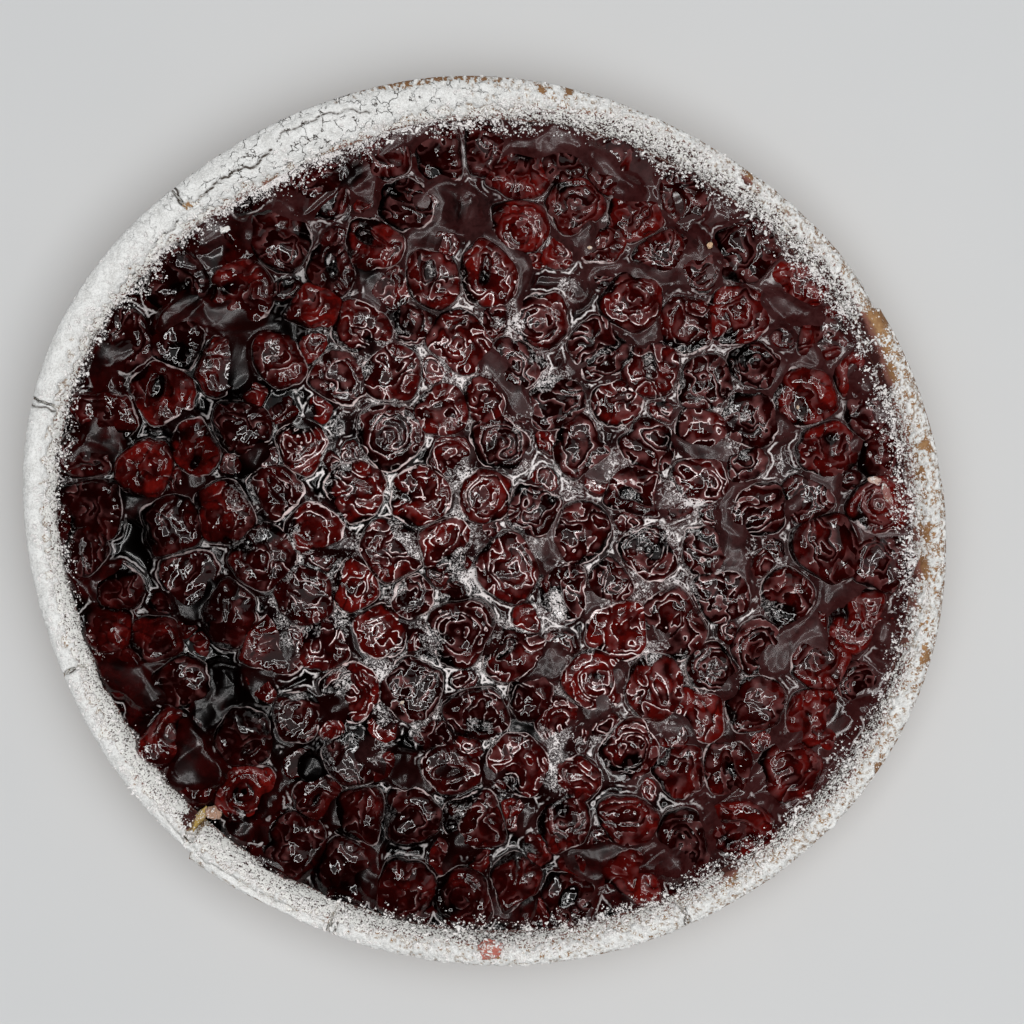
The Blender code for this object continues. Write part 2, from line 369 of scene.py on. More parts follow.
def make_crust():
    inner = section_points(INNER_SECTION, HIDDEN_SPACING)
    shown = section_points(RIM_SECTION, RIM_SPACING)[1:] + section_points(SIDE_SECTION, RIM_SPACING)[1:]
    section = inner + shown + section_points(UNDER_SECTION, 4 * HIDDEN_SPACING)[1:]
    bm, number = ring_mesh(section, CRUST_STEPS, closed=False)
    layers = {name: bm.verts.layers.float.new(name) for name in ("toasted", "stained", "broken", "dusted")}
    last_shown = len(inner) + len(shown)
    for vertex in bm.verts:
        inset, height = section[vertex[number]]
        angle = gathered(math.atan2(vertex.co.y, vertex.co.x))
        point = placed(inset, height, angle)
        if len(inner) <= vertex[number] <= last_shown:
            around = Vector((math.cos(angle), math.sin(angle), 0))
            out = around * (RIM_CORE.x - inset) + Vector((0, 0, height - RIM_CORE.y))
            if height < RIM_CORE.y:
                out = around
            lumps = noise.fractal(point / (9 * MM), 1, 2, 4)
            crumbs = noise.noise(point / (1.3 * MM)) * noise.noise(point / (12 * MM) + Vector((5, 0, 0)))
            rise = (0.28 * lumps + 0.5 * crumbs) * MM * smooth_step(height, 0, 3 * MM)
            point += out.normalized() * rise
        side = smooth_step(height, RIM_HEIGHT - 3 * MM, RIM_HEIGHT - 9 * MM)
        toasted = 0.15 + 0.5 * near(height, RIM_HEIGHT - 3 * MM, 5 * MM) + 0.45 * near(height, 0, 7 * MM)
        vertex[layers["toasted"]] = clamped(toasted + 0.35 * (1 - side))
        real_inset = edge_radius(angle) - point.xy.length
        vertex[layers["stained"]] = stained(angle, real_inset, point) * (1 - side)
        vertex[layers["broken"]] = clamped(break_depth(angle, inset) / (1.5 * MM)) * (1 - side)
        dust = (0.25 + 0.45 * sugar_share(angle)) * (1 - 0.7 * bare_share(point)) * (1 - side)
        dust *= 1 - 0.7 * worn_share(angle, real_inset)
        vertex[layers["dusted"]] = dust * smooth_step(inset, -0.2 * MM, 0.7 * MM)
        vertex.co = point
    finish_piece("baked_crust", bm, crust_material(), "crust")


# Places where the sugar has gone from the rim, in millimetres: x, y, radius
BARE_PATCHES = (
    (-85.5, 91, 1.1), (-84, -86, 3), (111, 57, 4), (112, 48, 3), (115, 42, 3), (124.5, -14, 3),
    (121.5, -24, 2.2), (119.5, -32, 2.2), (117, -40, 2.2), (114, -47, 2.6), (126, -39, 1.5), (113, -72, 2),
    (70, -101, 2.2), (75, 99, 1.5), (126, 22, 1.6), (16, 124, 1.2), (24, 123.5, 1.4), (126, -3, 1.8),
    (124, 14, 1.4), (1.5, -123, 1.8),
)
# How much of the rim the icing sugar covers: (angle in degrees, share). It was sieved from the left.
SUGAR_SHARES = (
    (0, 0.56), (20, 0.48), (33, 0.54), (45, 0.64), (60, 0.7), (80, 0.76), (95, 0.92), (125, 1), (235, 1),
    (250, 0.92), (262, 0.82), (290, 0.76), (318, 0.68), (340, 0.6), (360, 0.56),
)
# How far in from the edge the rim is white: (angle in degrees, millimetres). Further in, the sugar thins out.
SUGAR_MARGINS = (
    (0, 9.8), (35, 8.3), (72, 6.4), (92, 11), (115, 14.5), (135, 11.5), (155, 8.8), (190, 6.2), (210, 5),
    (245, 4.1), (262, 6.8), (285, 8.2), (320, 7.3), (340, 8.4), (360, 9.8),
)
WORN_AT = math.radians(98)  # where the sugar has worn off the outer edge


def from_table(rows, value):
    """Reads the table at this value, straight between its rows."""
    for (start, first), (end, second) in zip(rows, rows[1:]):
        if value <= end:
            return first + (second - first) * (value - start) / (end - start)
    return rows[-1][1]


def sugar_share(angle):
    return from_table(SUGAR_SHARES, math.degrees(angle) % 360)


def sugar_margin(angle):
    return from_table(SUGAR_MARGINS, math.degrees(angle) % 360)


def bare_share(point):
    """How far the sugar has gone from the rim here, from 0 to 1."""
    lumps = noise.noise(point / (2.4 * MM)) + 0.8 * noise.noise(point / (0.9 * MM))
    bare = 0
    for x, y, radius in BARE_PATCHES:
        away = math.hypot(point.x / MM - x, point.y / MM - y) + 1.8 * lumps
        bare = max(bare, 1 - smooth_step(away, radius * 0.7, radius * 1.3))
    return bare


def worn_share(angle, inset):
    """How far the sugar has worn off the outer edge here, from 0 to 1."""
    return near(turned_from(angle, WORN_AT), 0, math.radians(17)) * smooth_step(inset, 4.6 * MM, 0.8 * MM)


def stained(angle, inset, point):
    """How far the juice has soaked into the inner margin of the rim: most on the right and lower right."""
    margin = sugar_margin(angle) - 0.9 * near(turned_from(angle, math.radians(-15)), 0, math.radians(50))
    margin -= 4.5 * near(turned_from(angle, math.radians(48)), 0, math.radians(42))
    depth = inset / MM - margin + 1.2 * noise.noise(point / (9 * MM))
    return 0.75 * smooth_step(depth, -2.8, -0.3) + 0.5 * smooth_step(depth, -1, 1.5)


make_crust()

# ----------------------------------------------------------------------------------------------------------
# The cherries.
# Pitted sour cherries, laid close together on the base, with torn bits of them in the gaps. They shrank in
# the oven: where the stone came out the top has fallen in, and the slack skin lies in folds, each kind in its
# own way.
# The shade in their creases and on their low and left sides, and their sheen and bright lines, are painted.
# ----------------------------------------------------------------------------------------------------------

CHERRY_LENGTH = 17 * MM
CHERRY_STAND = 4.6 * MM  # how far a full-size cherry stands out of the juice
CHERRY_SUNK = 1.4 * MM  # how far its widest part is under the juice
CHERRY_GRID = 50  # squares across a cherry's mesh
CLEARANCE = 0.4 * MM  # between the filling and the crust, as in the solids
TOP_SHARE = 0.8  # of the mesh's half width that goes to the top of the cherry, and the rest to its side
TOP_REACH = 0.965  # how far out the top reaches, as a share of the cherry's half width
NEIGHBOUR_REACH = 24 * MM  # cherries further apart than this don't touch
CHERRY_REACH = 16 * MM  # from a cherry's middle to where its side no longer draws the juice up

# The cherries that stand out, in millimetres and degrees: x, y, length, width, turn of the length, kind.
# The rest are packed between them.
KEY_CHERRIES = (
    (7, -12, 22, 16, 125, "creased"),
    (4, 23, 19, 15, 80, "ringed"),
    (27, 21, 23, 12, 120, "creased"),
    (-28, 25, 19, 17, 100, "ringed"),
    (46, -9, 16, 15, 0, "ringed"),
    (98, -8, 21, 18, 95, "creased"),
    (-7, -31, 19, 17, 90, "ringed"),
    (-71, 67, 20, 18, 100, "crumpled"),
    (-49, 97, 20, 14, 5, "creased"),
    (-22, -85, 15, 14, 30, "plump"),
    (-50, 62, 18, 10, 170, "plump"),
    (10, 84, 18, 16, 130, "ringed"),
    (73, 60, 19, 17, 20, "crumpled"),
    (79, 4, 20, 13, 10, "creased"),
    (65, -8, 15, 14, 0, "crumpled"),
    (106, -28, 20, 16, 60, "crumpled"),
    (88, -22, 23, 13, 95, "plump"),
    (96, -57, 17, 17, 0, "crumpled"),
    (86, -72, 19, 15, 30, "creased"),
    (72, -88, 20, 13, 10, "crumpled"),
    (57, -92, 16, 15, 90, "ringed"),
    (41, -87, 19, 14, 5, "creased"),
    (23, -89, 17, 15, 90, "crumpled"),
    (-2, -87, 19, 17, 20, "crumpled"),
    (-39, -69, 18, 15, 100, "crumpled"),
    (-54, -57, 15, 13, 30, "ringed"),
    (-89, -46, 18, 14, 150, "plump"),
    (-61, -36, 17, 16, 60, "crumpled"),
    (-95, -34, 19, 12, 5, "creased"),
    (-91, -1, 20, 14, 115, "creased"),
    (-97, 15, 18, 14, 160, "crumpled"),
    (-70, 27, 18, 17, 45, "crumpled"),
    (-54, 22, 17, 14, 90, "ringed"),
    (-38, 10, 18, 14, 100, "crumpled"),
    (-50, -2, 15, 14, 90, "ringed"),
    (-27, -9, 17, 16, 120, "crumpled"),
    (31, -46, 19, 17, 150, "ringed"),
    (56, -71, 17, 14, 80, "creased"),
    (-12, 32, 14, 13, 90, "creased"),
    (15, 57, 15, 14, 60, "ringed"),
    (47, 23, 15, 14, 40, "crumpled"),
    (78, -36, 16, 15, 60, "ringed"),
    (97, -41, 15, 14, 120, "creased"),
    (10, -70, 19, 15, 0, "crumpled"),
    (-106, -19, 14, 12, 130, "plump"),
    (51, 77, 16, 13, 10, "plump"),
    (36, 102, 15, 13, 60, "creased"),
    (-28, 105, 16, 11, 20, "plump"),
)
# Places where only juice shows, in millimetres: x, y, radius
OPEN_JUICE = (
    (-8, 90, 9),
    (-73, -50, 8),
    (91, -36, 7),
    (-86, 30, 5),
    (27, 70, 7),
    (12, -60, 4),
    (-20, -70, 6),
    (63, 84, 4),
    (-50, -70, 4),
)
PACKED_LENGTHS = (18, 17, 16, 14.5, 13)  # tried in turn, in millimetres
PACKING_TRIES = 1500
PACKING_SEED = 7
PACKING_SQUEEZE = 0.89  # how close two cherries may lie, as a share of their mean widths
PACKED_KINDS = ("split", "ringed", "creased", "crumpled", "plump", "split", "plump")

SWELL = 1.36  # how much larger than its solid a cherry would be if its neighbours weren't pressed against it
OUTLINE_STEPS = 72  # directions in which a cherry's outline is worked out
SEAM = 0.15 * MM  # between two cherries that press against each other
OVERLAP = 3.5 * MM  # how far at most one cherry lies over another
# Places painted dark as shade on the juice and the cherries, in millimetres: x, y, radius
SHADED_PLACES = (
    (-67, -55, 8), (-85, 47, 6), (-49, -70, 6.5), (-77, -44, 6), (-68, -3, 6), (-57, 58, 5), (-84, 68, 5.5),
    (-81, -57, 5), (-35, 74, 4), (-83, 23, 6), (12, -60, 5), (-71, 10, 6), (-26, -88, 5), (-96, -2, 6),
    (-79, -24, 6), (-71, -77, 5), (-42, -102, 7), (-92, 42, 6), (-56, 20, 4), (-103, 10, 5), (-88, 71, 5),
    (-62, 66, 6), (-74, 38, 5), (-40, 100, 4),
)
# Each kind: how deep its top has fallen in, and how high its folds are, both in millimetres
CHERRY_KINDS = {
    "plump": (0.3, 0.25),
    "creased": (0.6, 0.5),
    "ringed": (1.0, 0.45),
    "crumpled": (0.8, 0.6),
    "split": (1.6, 0.5),
    "torn": (0.5, 0.5),
}
# What each point of a cherry's mesh tells the material
CHERRY_LOOKS = ("hollow_shade", "tint", "dusted", "sunk", "filmed", "swing", "steepness", "set", "sheen_back_right", "tide")
SCRAPS = 70  # bits of torn flesh and skin between the cherries: the kind called torn
SCRAP_GRID = 28  # squares across a bit's mesh
SCRAP_SEED = 5
SHAPE_SEED = 11  # for the differences from cherry to cherry
FOLD_SEED = 5

HIGHLIGHT_MIDDLE = Vector((10 * MM, -3 * MM))  # where the painted highlights and haze are strongest
HIGHLIGHT_REACH = 100 * MM  # how far from there they fade out
LIP_HEIGHT = 1.5 * MM  # of the juice against a cherry
HIGHLIGHT_LINES = 1.9  # painted highlight lines, over the whole swing of a cherry's folds
EDGE_WIDTH = 0.2  # of a painted highlight line, in millimetres

# the darkest skin, also painted as shade into the creases and fallen-in tops
CHERRY_DARK = (0.006, 0.0004, 0.0004)
CHERRY_RED = (0.050, 0.0026, 0.0022)
CHERRY_BRIGHT = (0.115, 0.0045, 0.0030)
# a dusky painted sheen, standing for a reflection on the wet skin
PAINTED_CHERRY_SHEEN = (0.17, 0.056, 0.054)
# the colour of the painted highlight lines
PAINTED_HIGHLIGHT = (0.86, 0.70, 0.68)
# the near-black juice, also painted as shade on the cherries and in the dark places
JUICE_DARK_AND_SHADE = (0.0004, 0.0001, 0.0001)
JUICE_CLEAR = (0.010, 0.0008, 0.0007)
JUICE_OVER_FLESH = (0.024, 0.0010, 0.0009)
# a dusky painted sheen on the juice, standing for a reflection
JUICE_SHEEN = (0.046, 0.015, 0.0148)
# the pale painted haze and highlights on the juice and the cherries
HAZE_HIGHLIGHT = (0.86, 0.80, 0.785)
SUGAR_GRAIN = (0.74, 0.70, 0.69)


def filling_radius(angle):
    """Where the top of the filling meets the rim."""
    return edge_radius(angle) - (RIM_WIDTH + 0.7 * MM) * rim_width(angle) / RIM_WIDTH - CLEARANCE


def kept_inside(x, y, length, width, turn):
    """The cherry, pressed in from the rim as far as it has to be."""
    angle = math.atan2(y, x)
    reach = math.hypot(length / 2 * math.cos(turn - angle), width / 2 * math.sin(turn - angle))
    share = min(1, (filling_radius(angle) - reach) / math.hypot(x, y))
    return x * share, y * share, length, width, turn


noise.seed_set(FOLD_SEED)  # noise_vector follows this seed, and without it the clock


def lay_cherries():
    """All the cherries, each as ((x, y, length, width, turn), kind), where the solid has them."""
    chance = random.Random(PACKING_SEED)
    laid = [
        (kept_inside(x * MM, y * MM, length * MM, width * MM, math.radians(turn)), kind)
        for x, y, length, width, turn, kind in KEY_CHERRIES
    ]
    pools = [(x * MM, y * MM, radius * MM) for x, y, radius in OPEN_JUICE]
    for length in PACKED_LENGTHS:
        for _ in range(PACKING_TRIES):
            angle = chance.uniform(0, 2 * math.pi)
            away = math.sqrt(chance.random()) * filling_radius(angle)
            size = length * MM * chance.uniform(0.95, 1.05)
            wide = size * chance.uniform(0.76, 0.95)
            turn = chance.uniform(0, math.pi)
            cherry = kept_inside(away * math.cos(angle), away * math.sin(angle), size, wide, turn)
            x, y = cherry[:2]
            reach = (size + wide) / 4
            if any(math.hypot(x - px, y - py) < radius + 0.7 * reach for px, py, radius in pools):
                continue
            gaps = (math.hypot(x - cx, y - cy) / (reach + (cl + cw) / 4) for (cx, cy, cl, cw, _), _ in laid)
            if min(gaps) > PACKING_SQUEEZE:
                laid.append((cherry, PACKED_KINDS[len(laid) % len(PACKED_KINDS)]))
    return laid


def cherry_outline(index):
    """The half width in each direction round the cherry: its own uneven oval, flattened by its neighbours."""
    (x, y, length, width, turn), _ = laid_cherries[index]
    start = Vector((index * 7.3, index * 3.1, 50))
    pressed = []
    for (nx, ny, nl, nw, _), _ in laid_cherries:
        gap = math.hypot(nx - x, ny - y)
        if 0 < gap < NEIGHBOUR_REACH:
            share = (length + width) / (length + width + nl + nw)
            over = OVERLAP * noise.noise(Vector((x + nx, y + ny, 0)) / (3 * MM))
            pressed.append((math.atan2(ny - y, nx - x), gap * share - SEAM / 2 + abs(over)))
    outline = []
    for step in range(OUTLINE_STEPS):
        angle = 2 * math.pi * step / OUTLINE_STEPS
        oval = length * width / 2
        oval /= math.hypot(width * math.cos(angle - turn), length * math.sin(angle - turn))
        way = Vector((math.cos(angle), math.sin(angle), 0))
        oval *= SWELL * (1 + 0.22 * noise.noise(start + way * 1.2) + 0.1 * noise.noise(start + way * 3.1))
        facing = ((math.cos(angle - way_to), reach) for way_to, reach in pressed)
        walls = [oval] + [reach / share for share, reach in facing if share > 0.3]
        outline.append(sum(wall**-9 for wall in walls) ** (-1 / 9))
    return outline


def read_outline(outline, angle):
    place = angle / (2 * math.pi) * OUTLINE_STEPS % OUTLINE_STEPS
    low = int(place)
    high = (low + 1) % OUTLINE_STEPS
    return outline[low] + (outline[high] - outline[low]) * (place - low)


def lay_scraps():
    """Torn bits in the gaps between the cherries, laid as the cherries are."""
    chance = random.Random(SCRAP_SEED)
    scraps = []
    while len(scraps) < SCRAPS:
        angle = chance.uniform(0, 2 * math.pi)
        away = math.sqrt(chance.random()) * filling_radius(angle) * 0.98
        size = chance.uniform(6.5, 10) * MM
        x, y = away * math.cos(angle), away * math.sin(angle)
        lying = laid_cherries + scraps
        gaps = (math.hypot(x - cx, y - cy) / (size / 2 + (cl + cw) / 4) for (cx, cy, cl, cw, _), _ in lying)
        in_pool = any(math.hypot(x - px * MM, y - py * MM) < radius * MM for px, py, radius in OPEN_JUICE)
        if min(gaps) > chance.uniform(0.68, 0.78) and not in_pool:
            wide = size * chance.uniform(0.55, 0.9)
            scraps.append(((x, y, size, wide, chance.uniform(0, math.pi)), "torn"))
    return scraps


def cherry_profile(out, flatness):
    """(share of the half width, share of the height) at this share of the way from the middle of the mesh. At
    a flatness of 0.5 the cherry is a ball, and under that its top is flatter."""
    if out <= TOP_SHARE:
        reach = TOP_REACH * out / TOP_SHARE
        return reach, (1 - reach * reach) ** flatness
    down = (out - TOP_SHARE) / (1 - TOP_SHARE)
    edge = (1 - TOP_REACH**2) ** flatness
    return TOP_REACH + 0.035 * math.sin(math.pi * min(down, 0.6)), edge * (1 - 1.9 * down)


def folds(kind, place, steep):
    """(height of the slack skin, how deep in a crease this is, the swing of the folds), for a place on the
    cherry in millimetres. The skin lies in smooth cushions with sharp creases between them."""
    warped = place + 2.2 * noise.noise_vector(place / 4)
    if kind == "creased":
        warped = Vector((warped.x / 2.4, warped.y * 1.1, warped.z))
    large = noise.noise(warped / 6)
    if kind == "ringed":
        large = math.sin(math.pi * ((place.xy.length + 1.5 * large) / 2.8)) * 0.3
    small = noise.noise(warped / 3 + Vector((31, 0, 0)))
    height = 2.0 * (large * large + 0.003) ** 0.5 + 0.45 * (small * small + 0.001) ** 0.5
    crease = math.exp(-((large / 0.06) ** 2)) + 0.4 * math.exp(-((small / 0.05) ** 2))
    return steep * height, crease, large + 0.35 * small


def find_steepness(bm, layers):
    """Notes how fast the swing of the folds changes, per millimetre, so that dried edges are as wide on any
    slope."""
    vertices = list(bm.verts)
    row = math.isqrt(len(vertices))
    swing, steepness = layers["swing"], layers["steepness"]
    for index, vertex in enumerate(vertices):
        slopes = []
        for step, place in ((1, index % row), (row, index // row)):
            start = vertices[index - step if place > 0 else index]
            end = vertices[index + step if place < row - 1 else index]
            slopes.append(abs(end[swing] - start[swing]) / max((end.co - start.co).length / MM, 0.05))
        vertex[steepness] = math.hypot(*slopes)


def rounded(vertex):
    """Where a point of the square grid, which reaches from -1 to 1, comes to lie on a disc of radius 1."""
    u, v, _ = vertex.co
    return Vector((u * math.sqrt(1 - v * v / 2), v * math.sqrt(1 - u * u / 2), 0))


class Cherry:
    """A laid cherry, with the traits that set it apart from the others of its kind."""

    def __init__(self, index, chance):
        (x, y, length, _, turn), self.kind = laid_cherries[index]
        fallen, steep = CHERRY_KINDS[self.kind]
        self.fallen = fallen * chance.uniform(0.3, 1.6)
        self.steep = steep * chance.uniform(0.75, 1.4)
        self.stand = CHERRY_STAND * (0.55 + 0.45 * length / CHERRY_LENGTH) * chance.uniform(0.6, 1.15)
        if self.kind == "torn":
            self.stand *= 0.6
        lean_back, lean_aside = (math.radians(chance.uniform(-12, 12)) for _ in range(2))
        self.lean = Matrix.Rotation(lean_back, 3, "X") @ Matrix.Rotation(lean_aside, 3, "Y")
        self.tint = chance.random()
        self.flatness = chance.uniform(0.1, 0.28)
        self.fallen_at = Vector((chance.uniform(-0.25, 0.25), chance.uniform(-0.25, 0.25), 0))
        self.fallen_reach = chance.uniform(0.5, 0.85)
        self.unturned = Matrix.Rotation(-turn, 3, "Z")
        self.outline = outlines[index]
        self.start = Vector((index * 7.3, index * 3.1, 0))
        self.centre = Vector((x, y, juice_level(x, y) - CHERRY_SUNK))
        self.lowest = CHERRY_SUNK + lip_height(self.centre.xy.to_3d()) + 0.3 * MM

    def dish(self, place, lump):
        """How far the top has fallen in here, from 0 to 1. A split cherry has fallen in along its slit."""
        away = self.unturned @ (place - self.fallen_at)
        if self.kind == "split":
            away.y *= 2.6
        return smooth_step(away.length + 0.25 * lump, self.fallen_reach, self.fallen_reach * 0.45)

    def skin(self, spread):
        """The point of the skin over this place on a disc of radius 1, and its looks by their names."""
        out = min(1, spread.length)
        reach, rise = cherry_profile(out, self.flatness)
        way = spread.normalized() if out > 0 else Vector((1, 0, 0))
        flat = way * reach * read_outline(self.outline, math.atan2(way.y, way.x))
        place = self.unturned @ flat / MM
        lump = noise.noise(self.start + place / 6.5)
        top = smooth_step(reach, 0.98, 0.86)
        dish = self.dish(way * reach, lump)
        fold, crease, swing = folds(self.kind, place + Vector((0, 0, self.start.x)), self.steep)
        covered = film(self.centre.xy.to_3d() + flat)
        fold *= 1 - 0.85 * covered
        facing = Vector((way.x * reach**4, way.y * reach**4, 1.15 - reach**4)).normalized()
        pinch = 0.35 * noise.noise(self.start + way * 5 + Vector((0, 0, reach))) * near(reach, 0.8, 0.3)
        point = flat + Vector((0, 0, rise * (self.stand + CHERRY_SUNK)))
        point += facing * MM * ((lump - self.fallen * dish) * (0.4 + 0.6 * top) + fold * top + pinch)
        if reach < 0.85:
            point.z += 0.85 * max(0, self.lowest + 0.4 * MM * fold - point.z)
        point = self.centre + self.lean @ point
        # The left side counts as lower, so that the painted shade falls on the cherries' left sides.
        over = (point.z - self.centre.z - CHERRY_SUNK) / self.stand + 0.22 * way.x * reach**2
        above = point.z - juice_level(point.x, point.y) - lip_height(point.xy.to_3d())
        inward = 1 if self.kind == "torn" else smooth_step(reach, 0.88, 0.72)
        # Some looks place painted shade and some painted reflections.
        looks = {
            "hollow_shade": clamped(crease * top * (1 - covered) + 0.45 * dish),
            "tint": self.tint,
            "dusted": fringe(point),
            "sunk": 1 - smooth_step(over + 0.25 * lump, 0.3, 0.85) + 0.4 * dark_place_shade(point),
            "filmed": covered,
            "swing": swing - 0.5 * dish + 0.25 * reach**3,
            "set": highlight_share(point),
            "sheen_back_right": sheen_back_right(point),
            "tide": above / MM + 6 * inward,
        }
        return point, looks


def make_cherry(grid, cherry):
    """The cherry's mesh on the grid's points, with the looks that its shader reads."""
    bm = grid.copy()
    layers = {name: bm.verts.layers.float.new(name) for name in CHERRY_LOOKS}
    for vertex in bm.verts:
        vertex.co, looks = cherry.skin(rounded(vertex))
        for name, value in looks.items():
            vertex[layers[name]] = value
    find_steepness(bm, layers)
    bmesh.ops.contextual_create(bm, geom=[edge for edge in bm.edges if edge.is_boundary])
    return bm


def juice_level(x, y):
    """The height of the set juice between the cherries, which lies a little uneven."""
    place = Vector((x, y, 0)) / (30 * MM)
    return FILLING_LEVEL + 0.5 * MM * noise.noise(place) + 0.3 * MM


def film(point):
    """How far the set juice has spread over the cherries here and smoothed their folds, from 0 to 1."""
    pools = sum(near(math.hypot(point.x / MM - x, point.y / MM - y), 0, 1.9 * r) for x, y, r in OPEN_JUICE)
    return smooth_step(noise.noise(point / (13 * MM) + Vector((3, 8, 0))) + 0.6 * pools, 0.0, 0.32)


def lip_height(point):
    """How far the set juice has crept up the sides of the cherries here."""
    return LIP_HEIGHT * (0.7 + 1.2 * film(point) + 0.5 * noise.noise(point / (8 * MM)))


def highlight_share(point):
    """How strong the painted highlights and haze are, and how matt the juice: 1 in the middle of the pie
    and 0 towards the rim.
    """
    return smooth_step((point.xy - HIGHLIGHT_MIDDLE).length, HIGHLIGHT_REACH, 0.6 * HIGHLIGHT_REACH)


def sheen_back_right(point):
    """How much painted dusky sheen lies here, standing for a reflection: most at the back right."""
    along = 0.88 * point.x + 0.47 * point.y + 25 * MM * noise.noise(point / (40 * MM))
    return smooth_step(along, -72 * MM, 48 * MM)


def dark_place_shade(point):
    """How much painted shade darkens the juice and the cherries here, from 0 to 1."""
    wander = 3 * noise.noise(point / (7 * MM)) + 1.5 * noise.noise(point / (2.5 * MM))
    away = min(math.hypot(point.x / MM - x, point.y / MM - y) - radius for x, y, radius in SHADED_PLACES)
    return smooth_step(away + wander, 2.5, -1.5)


def fringe(point):
    """How much icing sugar fell on the filling here: 1 at the rim, 0 from a little way in."""
    angle = math.atan2(point.y, point.x)
    inset = edge_radius(angle) - point.xy.length
    share = sugar_share(angle)
    depth = inset / MM - sugar_margin(angle) + 1.8 * noise.noise(point / (14 * MM))
    return share**0.3 * smooth_step(depth, 7, -2)


def dust_over(shading, colour, amount):
    """The colour with fine icing sugar over it, and the dust's mask. The amount runs from 0 to 1."""
    grain = shading.noise(0.55 * MM, 3, 0.7)
    clumps = shading.noise(2.6 * MM, 2, 0.5)
    dust = (amount * 0.66 + (grain - 0.5) * 1.6 + (clumps - 0.5) * 0.9).between(0.45, 0.53)
    return shading.mix(dust, colour, SUGAR_GRAIN), dust


def painted_reflections(shading, colour, shade):
    """The colour with painted reflections over it: a dusky sheen on one side of each fold, with a thin pale
    highlight where it stops, a pale highlight line round the cherry's foot, and pale grainy haze."""
    wander = shading.noise(1.5 * MM, 2, 0.6)
    broken = shading.noise(4.5 * MM, 2, 0.6)
    tint = shading.attribute("tint")
    # how strong the painted highlights are: most in the middle of the pie
    first = shading.attribute("set")
    # how much painted sheen lies here: most at the back right
    thick = shading.attribute("sheen_back_right")
    level = shading.math("FRACT", shading.attribute("swing") * HIGHLIGHT_LINES + wander * 0.4 + tint * 5)
    # A dusky painted sheen on one side of each fold.
    sheen_seen = level.between(0.48, 0.52) * (1 - level) * 2 * (broken + thick * 0.15).between(0.4, 0.75)
    colour = shading.mix(sheen_seen * (1 - shade) * (first * 0.3 + 0.6), colour, PAINTED_CHERRY_SHEEN)
    # A thin painted highlight line along the edge of each band of sheen.
    width = shading.math("MAXIMUM", shading.attribute("steepness"), 0.06) * (HIGHLIGHT_LINES * EDGE_WIDTH)
    edge = 1 - (abs(level - 0.5) / width).between(0.35, 1)
    edge = edge * (broken + first * 0.17 + (wander - 0.5) * 1.1).between(0.53, 0.84)
    highlight_seen = (1 - shade * 0.5) * (first * 0.75 + 0.25) * (tint * 1.2 + 0.4)
    colour = shading.mix(edge * highlight_seen, colour, PAINTED_HIGHLIGHT)
    # A painted highlight line round the cherry's foot, a little over the juice's lip.
    tide = 1 - abs(shading.attribute("tide") + (wander - 0.5) * 1.2 - 0.45).between(0.1, 0.5)
    tide = tide * (broken + (wander - 0.5) * 0.5).between(0.3, 0.5)
    colour = shading.mix(tide * (first * 0.45 + 0.4), colour, PAINTED_HIGHLIGHT)
    # Pale grainy haze, painted as a reflection.
    return shading.mix(painted_haze(shading, shade * 0.5 - 0.5) * first * 0.8, colour, HAZE_HIGHLIGHT)


def painted_haze(shading, more):
    """Patches of painted pale, grainy haze, standing for reflections, with a fine pale outline round each
    patch. The juice also takes them as its matt patches.
    """
    grain = shading.noise(0.55 * MM, 3, 0.75)
    fibres = shading.noise(1.3 * MM, 3, 0.65, 2.5)
    streaks = shading.noise(2.8 * MM, 3, 0.6, 1.5)
    patches = shading.noise(13 * MM, 2, 0.6) * 2.4 + (streaks - 0.5) * 1.3 + more
    dull = (patches + (grain - 0.5) * 1.4 + (fibres - 0.5) * 1.4).between(1.48, 1.78)
    outline = 1 - abs(patches - 1.36).between(0.01, 0.07)
    return shading.math("MAXIMUM", dull, outline * fibres.between(0.4, 0.6) * 0.6)


def cherry_material():
    shading = Shading("cherry_skin", IOR=1.5, Specular_IOR_Level=0.42)
    broad = shading.noise(6 * MM, 3, 0.6)
    fine = shading.noise(1.2 * MM, 3, 0.6)
    tint = shading.attribute("tint")
    hollow_shade = shading.attribute("hollow_shade")
    colour = shading.mix((broad + tint * 0.4).between(0.45, 0.95), CHERRY_DARK, CHERRY_RED)
    colour = shading.mix((broad * 0.9 + fine * 0.3 + tint * 0.35).between(0.78, 1.05), colour, CHERRY_BRIGHT)
    # Painted shade in the creases and the fallen-in tops.
    colour = shading.mix(hollow_shade * 0.85, colour, CHERRY_DARK)
    colour = shading.mix(shading.attribute("filmed") * 0.5, colour, CHERRY_DARK)
    # Painted shade: low sides, left sides and dark places go near black, and random patches too.
    shade = (shading.attribute("sunk") + (broad - 0.5) * 1.5).between(0.05, 0.7)
    colour = shading.mix(shade * 0.96, colour, JUICE_DARK_AND_SHADE)
    colour = painted_reflections(shading, colour, shade)
    colour, dust = dust_over(shading, colour, shading.attribute("dusted"))
    wrinkles = shading.noise(3.2 * MM, 1, 0.4, 0.8)
    creases = shading.math("SINE", wrinkles * 16)
    relief = shading.bump(creases + fine * 0.2, 0.014 * MM)
    relief = shading.bump(dust, 0.2 * MM, relief)
    haze = (broad + (fine - 0.5) * 0.8).between(0.55, 0.8)
    return shading.finish(Base_Color=colour, Roughness=haze * 0.18 + dust * 0.6 + 0.04, Normal=relief)


